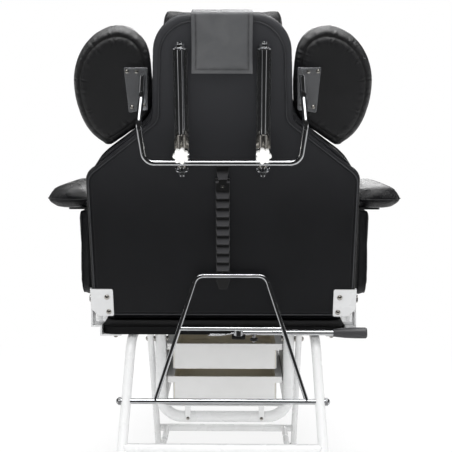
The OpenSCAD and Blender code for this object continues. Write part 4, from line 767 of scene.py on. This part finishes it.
# ---- Staples under the boards
# The cover is pulled round the boards and stapled from below, in a row along each free edge,
# a finger's width in from it.
staple_row = row_along("staple_row", "GeometryNodeMeshCube", {"Size": (1.0, 1.0, 1.0)})
EDGE_IN, FACE_OFF = 0.012, 0.0002
(x_low, rear, seat_face), (x_high, front, _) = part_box("seat_board")
(_, _, leg_face), (_, end, _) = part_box("leg_rest_board")
for name, body, face, x0, y0, x1, y1 in (
        ("seat_staples_left", "frame", seat_face, x_low + EDGE_IN, front - 0.07, x_low + EDGE_IN, rear + 0.10),
        ("seat_staples_right", "frame", seat_face, x_high - EDGE_IN, rear + 0.10, x_high - EDGE_IN,
         front - 0.07),
        ("seat_staples_rear", "frame", seat_face, -0.17, rear + 0.010, 0.0, rear + 0.010),
        ("seat_staples_front", "frame", seat_face, -0.17, front - EDGE_IN, 0.03, front - EDGE_IN),
        ("leg_rest_staples_end", "leg_rest", leg_face, -0.2, end - 0.014, 0.2, end - 0.014)):
    line = [(x0 + (x1 - x0) * k / 40, y0 + (y1 - y0) * k / 40, face - FACE_OFF) for k in range(41)]
    set_along(name, line, body, step=0.024, size=(0.0011, 0.0007, 0.0100), row=staple_row, finish=nickel)


# ---- Armrests
# A panel of board and thin foam beside the seat, and an almond-shaped pad with a sharp sewn edge
# that is bolted to a chromed plate. Left and right are mirrored.
def mirror(bm):
    for v in bm.verts:
        v.co.x = -v.co.x
    bmesh.ops.reverse_faces(bm, faces=bm.faces)


def turned_over(line):
    return line * np.array([-1.0, 1.0, 1.0])


ARM_GLUED, PANEL_SEAM_IN, ARM_WELT = 0.002, 0.006, 0.0016
PAD_SEAM, SHARP = 0.40, 0.026  # the seam's share of the pad's height; how far in the covers close to it
inner, outer = (corner.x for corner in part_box("arm_panel_right"))
panel = plump("arm_panel_cover_right", "arm_panel_right", voxel=0.005, take_in=0.0015, cap=0.004,
              glued_where=lambda p: p[:, 0] < inner + ARM_GLUED)
panel_seam = cut_line(panel, (outer - PANEL_SEAM_IN, 0, 0), (1, 0, 0))
sew(panel, panel_seam, depth=0.001, width=0.003, pucker=0.0005, spacing=0.014, reach=0.01)
pad_low, pad_high = (corner.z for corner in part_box("arm_pad_right"))
pad = plump("arm_pad_cover_right", "arm_pad_right", voxel=0.0032, take_in=0.0, cap=0.0015,
            glued_where=lambda p: p[:, 2] < pad_low + ARM_GLUED)
seam_z = pad_low + PAD_SEAM * (pad_high - pad_low)
arm_seam = cut_line(pad, (0, 0, seam_z), UP)
points = points_of(pad)
_, beside = nearest_on(arm_seam, points)
points[:, 2] = seam_z + (points[:, 2] - seam_z) * np.sqrt(np.clip(beside / SHARP, 0.0, 1.0))
put_points(pad, points)
sew(pad, arm_seam, depth=0.0008, width=0.003, pucker=0.0007, spacing=0.013, reach=0.012)
arm_vinyl = vinyl("arm_vinyl", (0.0055, 0.0056, 0.0066, 1), (0.0085, 0.0087, 0.0100, 1), 0.26, 0.5,
                  seam_dark=0.6)
for side, body in (("right", "armrest_right"), ("left", "armrest_left")):
    if side == "left":
        pad = reworked("arm_pad_cover_left", pad.data, mirror)
        panel = reworked("arm_panel_cover_left", panel.data, mirror)
        arm_seam, panel_seam = turned_over(arm_seam), turned_over(panel_seam)
    finish_padded(pad, arm_vinyl, body, "arm_pad_" + side)
    finish_padded(panel, black_vinyl, body, "arm_panel_" + side)
    welt("arm_pad_welt_" + side, arm_seam, ARM_WELT, body)
    welt("arm_panel_welt_" + side, panel_seam, ARM_WELT, body)


# ---- Back
# A waisted board wrapped in vinyl, its rear panel sewn in with a thin welt. The foam in front of
# it is cut fuller at the shoulders, bulges past the board's edge there, and has two channels.
HINGE_AT = Vector((0, -0.295407, 0.573))
HINGE_INSET, HINGE_RISE = 0.046, 0.026


def on_back(across, out, rise):
    """A place on the back: sideways, forward of its rear face, up from its lower edge."""
    y, z = out - HINGE_INSET, rise - HINGE_RISE
    return np.stack(np.broadcast_arrays(
        across, HINGE_AT.y + y * math.cos(LEAN) - z * math.sin(LEAN),
        HINGE_AT.z + y * math.sin(LEAN) + z * math.cos(LEAN)), axis=-1)


def from_back(points):
    """Sideways place, distance forward of the rear face and rise of points of the row frame."""
    y, z = points[..., 1] - HINGE_AT.y, points[..., 2] - HINGE_AT.z
    return (points[..., 0], y * math.cos(LEAN) + z * math.sin(LEAN) + HINGE_INSET,
            -y * math.sin(LEAN) + z * math.cos(LEAN) + HINGE_RISE)


BACK_HALF, HEAD_HALF, BACK_LEN = 0.2965, 0.143, 0.675
NECK_HALF, NECK_RISE, SHOULDER_RISE = 0.149, 0.460, 0.358
BOARD_FORM, FOAM_FORM = (0.020, 0.032, 0.032), (0.0, 0.130, 0.060)  # corner drop, shoulder and neck radii
LOW_CORNER, TOP_CORNER, ARC_STEPS = 0.014, 0.078, 16


def back_edge(inset, low_inset, form=BOARD_FORM):
    """The outline of the board or the foam, drawn in by some distance."""
    drop, shoulder_r, neck_r = form
    half = [(BACK_HALF - low_inset, low_inset, LOW_CORNER),
            (BACK_HALF - low_inset, SHOULDER_RISE - drop - inset * 0.3, shoulder_r),
            (NECK_HALF - inset, NECK_RISE - drop * 0.25, neck_r),
            (HEAD_HALF - 0.003 - inset, BACK_LEN - inset, TOP_CORNER - inset * 0.5)]
    corners = half + [(-x, y, r) for x, y, r in reversed(half)]
    line = []
    for i, (x, y, r) in enumerate(corners):
        a, b, c = (np.array(corners[k % len(corners)][:2]) for k in (i - 1, i, i + 1))
        u, w = (b - a) / np.linalg.norm(b - a), (c - b) / np.linalg.norm(c - b)
        turn = math.acos(max(-1, min(1, u @ w)))
        side = 1 if u[0] * w[1] - u[1] * w[0] > 0 else -1
        start = b - u * r * math.tan(turn / 2)
        centre = start + side * r * np.array([-u[1], u[0]])
        dx, dy = start - centre
        for q in side * turn * np.arange(ARC_STEPS + 1) / ARC_STEPS:
            line.append(centre + (dx * math.cos(q) - dy * math.sin(q), dx * math.sin(q) + dy * math.cos(q)))
    return np.array(line)


def grid_faces(rows, count, closed):
    """Square faces between rows of points."""
    return [(r * count + i, r * count + (i + 1) % count, (r + 1) * count + (i + 1) % count, (r + 1) * count + i)
            for r in range(rows - 1) for i in range(count if closed else count - 1)]


def new_form(name, points, faces):
    """A piece from points and faces, with its faces turned outwards."""
    raw = bpy.data.meshes.new("raw")
    raw.from_pydata(points, [], faces)
    made = reworked(name, raw, lambda bm: bmesh.ops.recalc_face_normals(bm, faces=bm.faces))
    bpy.data.meshes.remove(raw)
    return made


BOARD_DEEP, SEAM_IN, SEAM_LOW = 0.018, 0.0145, 0.0065
SEAM_OUT, STITCH_OUT, STITCH_IN, BACK_WELT = 0.0008, -0.0002, 0.007, 0.0015
rings = [(0.0, 0.0, BOARD_DEEP), (0.0, 0.0, 0.0095), (0.0012, 0.0012, 0.0062), (0.004, 0.003, 0.0038),
         (SEAM_IN * 0.75, SEAM_LOW * 0.8, 0.0016), (SEAM_IN, SEAM_LOW, 0.0012),
         (SEAM_IN * 1.12, SEAM_LOW * 1.2, 0.0)]  # inset, inset below, and distance forward of the rear face
cover_points = []
for inset, low_inset, out in rings:
    edge = back_edge(inset, low_inset)
    cover_points.extend(map(tuple, on_back(edge[:, 0], out, edge[:, 1])))
count = len(edge)
caps = [tuple(range(count - 1, -1, -1)), tuple(range(len(cover_points) - count, len(cover_points)))]
back_panel = new_form("back_panel", cover_points, grid_faces(len(rings), count, True) + caps)
back_panel.modifiers.new("even", "REMESH").voxel_size = 0.0036
smoothed(back_panel, 0.4, 3)
settle(back_panel)
edge = back_edge(SEAM_IN, SEAM_LOW)
seam_line = even_line(on_back(edge[:, 0], SEAM_OUT, edge[:, 1]), smooth=1)
sew(back_panel, seam_line, depth=0.0010, width=0.0035, pucker=0.00025, spacing=0.021, reach=0.008)
back_vinyl = vinyl("back_vinyl", (0.0036, 0.0038, 0.0050, 1), (0.0055, 0.0058, 0.0074, 1), 0.40, 0.25,
                   seam_dark=0.7, painted_light=1.0)
finish_padded(back_panel, back_vinyl, "back", "back_board")
# The rear welt's vinyl is painted far lighter than the black vinyl, a painted highlight along the seam.
edge_vinyl = vinyl("edge_vinyl", (0.030, 0.031, 0.034, 1), (0.050, 0.051, 0.055, 1), 0.30, 0.2)
welt("back_welt", seam_line, BACK_WELT, "back", edge_vinyl)
edge = back_edge(SEAM_IN + STITCH_IN, SEAM_LOW + STITCH_IN)
row = even_line(on_back(edge[:, 0], STITCH_OUT, edge[:, 1]), smooth=1)
set_along("back_stitches", row, "back", step=0.0046, size=(0.0007, 0.0007, 0.0032), closed=True)

back_front = plump("back_cover", "back_cushion", voxel=0.006, take_in=0.001, cap=0.005,
                   glued_where=lambda p: from_back(p)[1] < BOARD_DEEP + GLUED)

# the foam's rear edge is round where it stands past the board
FOAM_ROUND, FOAM_BACK, WAIST = 0.040, 0.0035, 0.26  # from where, to where, and above which rise
SPARE, LEAST_OVERHANG = 0.002, 0.006


def flat_of(across, rise):
    return np.stack([across, rise, np.zeros(len(rise))], axis=1)


def dense(edge):
    return even_line(flat_of(*edge.T), 0.001, smooth=0)


def outward_of(line, reach):
    """At each point of a flat line, the way at right angles to it."""
    ahead = np.roll(line, -reach, 0) - np.roll(line, reach, 0)
    way = flat_of(ahead[:, 1], -ahead[:, 0])
    return way / np.linalg.norm(way, axis=1, keepdims=True)


board_edge, foam_edge = dense(back_edge(0.0, 0.0)), dense(back_edge(0.0, 0.0, FOAM_FORM))
overhang, outward = nearest_on(foam_edge, board_edge)[1], outward_of(board_edge, 3)
across, out, rise = from_back(points_of(back_front))
flat = flat_of(across, rise)
index, _ = nearest_on(board_edge, flat)
past = ((flat - board_edge[index]) * outward[index]).sum(axis=1)
wide = overhang[index] + SPARE
u, v = np.clip(past / wide, 0, 1), np.clip((FOAM_ROUND - out) / (FOAM_ROUND - BOARD_DEEP), 0, 1)
far = np.hypot(u, v)
rounded = (out < FOAM_ROUND) & (rise > WAIST) & (wide >= LEAST_OVERHANG) & (past >= -0.001) & (far >= 1e-6)
share = np.maximum(u, v) / np.maximum(far, 1e-9)
place = board_edge[index] + outward[index] * (u * share * wide)[:, None]
round_out = FOAM_ROUND - (FOAM_ROUND - FOAM_BACK) * v * share
put_points(back_front, on_back(np.where(rounded, place[:, 0], across), np.where(rounded, round_out, out),
                               np.where(rounded, place[:, 1], rise)))
smoothed(back_front, 0.5, 2)
settle(back_front)
BACK_BAND, BEFORE = 0.027, 0.3  # the welt forward of the board; well in front of the back
BACK_CHANNELS = (0.2295, 0.276), (0.4523, 0.140)  # their rise and half of their length
band = cut_line(back_front, tuple(on_back(0.0, BOARD_DEEP + BACK_BAND, 0.3)), INTO_BACK)
sew(back_front, band, depth=0.0012, width=0.004)
for number, (rise_at, half) in enumerate(BACK_CHANNELS):
    starts = [tuple(on_back(x, BEFORE, rise_at)) for x in np.linspace(-half, half, 130)]
    channel(back_front, "back_channel_stitches_%d" % number, starts, -Vector(INTO_BACK), "back")
finish_padded(back_front, black_vinyl, "back", "back_cushion")
welt("back_front_welt", band, WELT, "back")


# ---- Side pads beside the head
# Kidney-shaped pads: a flat vinyl rear panel, sewn inside a thick round rim that bulges past it.
# The rim puckers along the seam.
PAD_REAR, PAD_MIDDLE, ROLL_POWER = 0.0210, 0.0420, 1.35  # rear panel, middle of the rim, roundness of its roll
PAD_WIDEST, PAD_GLUED, BEHIND = PAD_REAR + 0.019, 0.0225, -0.03
LOBE_HALF, LOBE_WIDTH, BULGE, BULGE_WAY = 24, 8.5, 0.0030, math.radians(125)
ROLL, ROLL_MORE, ROLL_RISE, ROLL_FADE = 0.0125, 0.006, 0.56, 0.09  # its width, and more from a rise upwards
side_pad = plump("side_pad_cover_right", "side_pad_right", voxel=0.004, take_in=0.0005, cap=0.004,
                 glued_where=lambda p: from_back(p)[1] < PAD_GLUED)


def pad_outline():
    across, _, rise = from_back(cut_line(side_pad, tuple(on_back(0.0, PAD_WIDEST, 0.5)), INTO_BACK))
    return flat_of(across, rise)


def seen_from_hub(across, rise):
    return np.arctan2(rise - hub[1], across - hub[0]), np.hypot(across - hub[0], rise - hub[1])


# the outline's upper part is evened out, and its inner side nestles against the shoulder
flat = pad_outline()
hub = (flat.min(axis=0) + flat.max(axis=0)) / 2
angle, reach = seen_from_hub(*flat[:, :2].T)
order = np.argsort(angle)
turns = np.linspace(-math.pi, math.pi, 360, endpoint=False)
reach = np.interp(turns, angle[order], reach[order], period=2 * math.pi)
lobe = np.exp(-(np.arange(-LOBE_HALF, LOBE_HALF + 1) / LOBE_WIDTH) ** 2 / 2)
round_again = np.concatenate([reach[-LOBE_HALF:], reach, reach[:LOBE_HALF]])
even_reach = np.convolve(round_again, lobe / lobe.sum(), "valid")
across, out, rise = from_back(points_of(side_pad))
angle, _ = seen_from_hub(across, rise)
grow = np.interp(angle, turns, even_reach / reach, period=2 * math.pi)
grow = 1 + (grow - 1) * np.clip((np.sin(angle) - 0.25) / 0.35, 0, 1)
inner = np.clip(np.cos(angle + BULGE_WAY) * 2.2, 0, 1)
grow += inner * BULGE / np.interp(angle, turns, reach, period=2 * math.pi)
put_points(side_pad, on_back(hub[0] + (across - hub[0]) * grow, out, hub[1] + (rise - hub[1]) * grow))

# the rim behind the middle is a round roll, wider at the top, and the seam lies at its inner edge
flat = pad_outline()
inward = -outward_of(flat, 1)
inward = evened(inward * np.sign(((flat.mean(axis=0) - flat) * inward).sum(axis=1, keepdims=True)), 12)
rim = ROLL + ROLL_MORE * np.clip((flat[:, 1] - ROLL_RISE) / ROLL_FADE, 0, 1)
across, out, rise = from_back(points_of(side_pad))
index, beside = nearest_on(flat, flat_of(across, rise))
deep = beside / (rim[index] * 1.12)
roll = PAD_MIDDLE - (PAD_MIDDLE - PAD_REAR) * (
    1 - (1 - np.clip(deep, 0, 1)) ** ROLL_POWER) ** (1 / ROLL_POWER)
rear = (out < PAD_MIDDLE) & (deep < 1)
put_points(side_pad, on_back(across, np.where(rear, np.maximum(out, roll), out), rise))
smoothed(side_pad, 0.5, 12)
settle(side_pad)


def on_pad(flat, lift):
    return laid_on(side_pad, on_back(flat[:, 0], BEHIND, flat[:, 1]), INTO_BACK, lift)


pad_seam = even_line(on_pad(flat + inward * rim[:, None], 0.0), smooth=6)
sew(side_pad, pad_seam, depth=0.0042, width=0.0055, pucker=0.0016, spacing=0.0135, reach=0.013)
across, _, rise = from_back(pad_seam)
flat = flat_of(across, rise)
toward = flat.mean(axis=0) - flat
PAD_STITCH_IN = 0.0055
pad_row = on_pad(flat + PAD_STITCH_IN * toward / np.linalg.norm(toward, axis=1, keepdims=True), 0.0003)
pad_vinyl = vinyl("side_pad_vinyl", (0.0045, 0.0046, 0.0054, 1), (0.0066, 0.0068, 0.0080, 1), 0.30, 0.6,
                  seam_dark=0.8, gloss=0.9)
for side in ("right", "left"):
    if side == "left":
        side_pad = reworked("side_pad_cover_left", side_pad.data, mirror)
        pad_row = turned_over(pad_row)
    finish_padded(side_pad, pad_vinyl, "head_frame", "side_pad_" + side)
    set_along("side_pad_stitches_" + side, even_line(pad_row, smooth=1), "head_frame", step=0.0046,
              size=(0.0008, 0.0008, 0.0034), closed=True)


# ---- Head pillow and its flap
# A small pillow in front of the head part. A tongue of doubled vinyl is sewn to its upper seam,
# lies over the top of the back and hangs down behind, with a stitched border.
pillow = plump("pillow_cover", "head_pillow", voxel=0.005, take_in=0.001, cap=0.010,
               glued_where=lambda p: np.zeros(len(p), bool))
across, out, rise = from_back(points_of(pillow))
points, normals = points_of(pillow), points_of(pillow, "normal")
GATHER_FROM, GATHER_FADE, FOLDS, FOLD_DEEP = 0.085, 0.035, 17, 0.0020  # gathered towards both ends
ends = np.clip((np.abs(across) - GATHER_FROM) / GATHER_FADE, 0, 1)
around = np.arctan2(rise - rise.mean(), out - out.mean())
gather = np.sin(around * FOLDS + 1.3 * np.sin(around * 5)) * ends * (1 - 0.5 * ends)
put_points(pillow, points + normals * (FOLD_DEEP * gather)[:, None])
finish_padded(pillow, arm_vinyl, "back", "head_pillow")

FLAP_HALF, FLAP_LEN, FLAP_SWING, FLAP_TOP = 0.0625, 0.118, math.radians(9), 0.6774
FLAP_OUT, FLAP_THICK, HEM_IN, CREST = -0.0024, 0.0028, 0.009, 0.0434
seam_out = float(from_back(points_of(nodes["pillow_flap"]))[1].max())
crest_out = seam_out - CREST  # where it leaves the top of the back
hem = (FLAP_OUT - FLAP_LEN * math.sin(FLAP_SWING), 0.6753 - FLAP_LEN * math.cos(FLAP_SWING))
path = [(hem[0] + (FLAP_OUT - hem[0]) * k / 30, hem[1] + (0.6725 - hem[1]) * k / 30) for k in range(30)]
path = np.array(path + [
    (FLAP_OUT, 0.6730), (-0.0015, 0.6756), (0.0010, 0.6770), (0.0050, FLAP_TOP), (crest_out - 0.004, FLAP_TOP),
    (crest_out + 0.004, FLAP_TOP - 0.0004), (seam_out - 0.001, 0.6724)])
run = run_of(path)
flap_runs, flap_across = np.linspace(0, run[-1], 84), np.linspace(-FLAP_HALF, FLAP_HALF, 47)


def on_flap(x, along, lift=0.0):
    """A place on the flap: from its middle, and along it from the hem; it hangs with slight waves."""
    out, rise = np.interp(along, run, path[:, 0]), np.interp(along, run, path[:, 1])
    hang = np.clip(1 - along / FLAP_LEN, 0, 1)
    wave = (0.0016 * np.sin(x * 34 + 0.6) + 0.0008 * np.sin(along * 60) + 0.0014 * (x / FLAP_HALF) ** 2) * hang
    return on_back(x * (1 - 0.012 * np.sin(math.pi * hang)), out - np.maximum(0, wave) - lift, rise)


tongue = new_form("pillow_tongue", [tuple(on_flap(x, a)) for a in flap_runs for x in flap_across],
                  grid_faces(len(flap_runs), len(flap_across), False))
solid = tongue.modifiers.new("doubled", "SOLIDIFY")
solid.thickness, solid.offset = FLAP_THICK, 0.0
bevel = tongue.modifiers.new("edge", "BEVEL")
bevel.width, bevel.segments, bevel.angle_limit = 0.0009, 2, math.radians(50)
settle(tongue)
# The flap's vinyl is painted mid grey, far lighter than the other black vinyl, as a painted sheen for the light
# it reflects.
flap_vinyl = vinyl("flap_vinyl", (0.078, 0.080, 0.084, 1), (0.104, 0.106, 0.110, 1), 0.36, 0.7, seam_dark=0.6)
row = [(-FLAP_HALF + HEM_IN, a) for a in np.linspace(FLAP_LEN, HEM_IN, 30)]
row += [(x, HEM_IN) for x in np.linspace(-FLAP_HALF + HEM_IN, FLAP_HALF - HEM_IN, 30)[1:]]
row += [(FLAP_HALF - HEM_IN, a) for a in np.linspace(HEM_IN, FLAP_LEN, 30)[1:]]


def hem_line(lift):
    return even_line([tuple(on_flap(x, a, lift)) for x, a in row], 0.003, closed=False)


sew(tongue, hem_line(0.0012), depth=0.0006, width=0.0022, marked=0.8)
cover_up(tongue, flap_vinyl, "back", "pillow_flap")
set_along("flap_stitches", hem_line(0.0015), "back", step=0.0042, size=(0.0009, 0.0009, 0.0031))
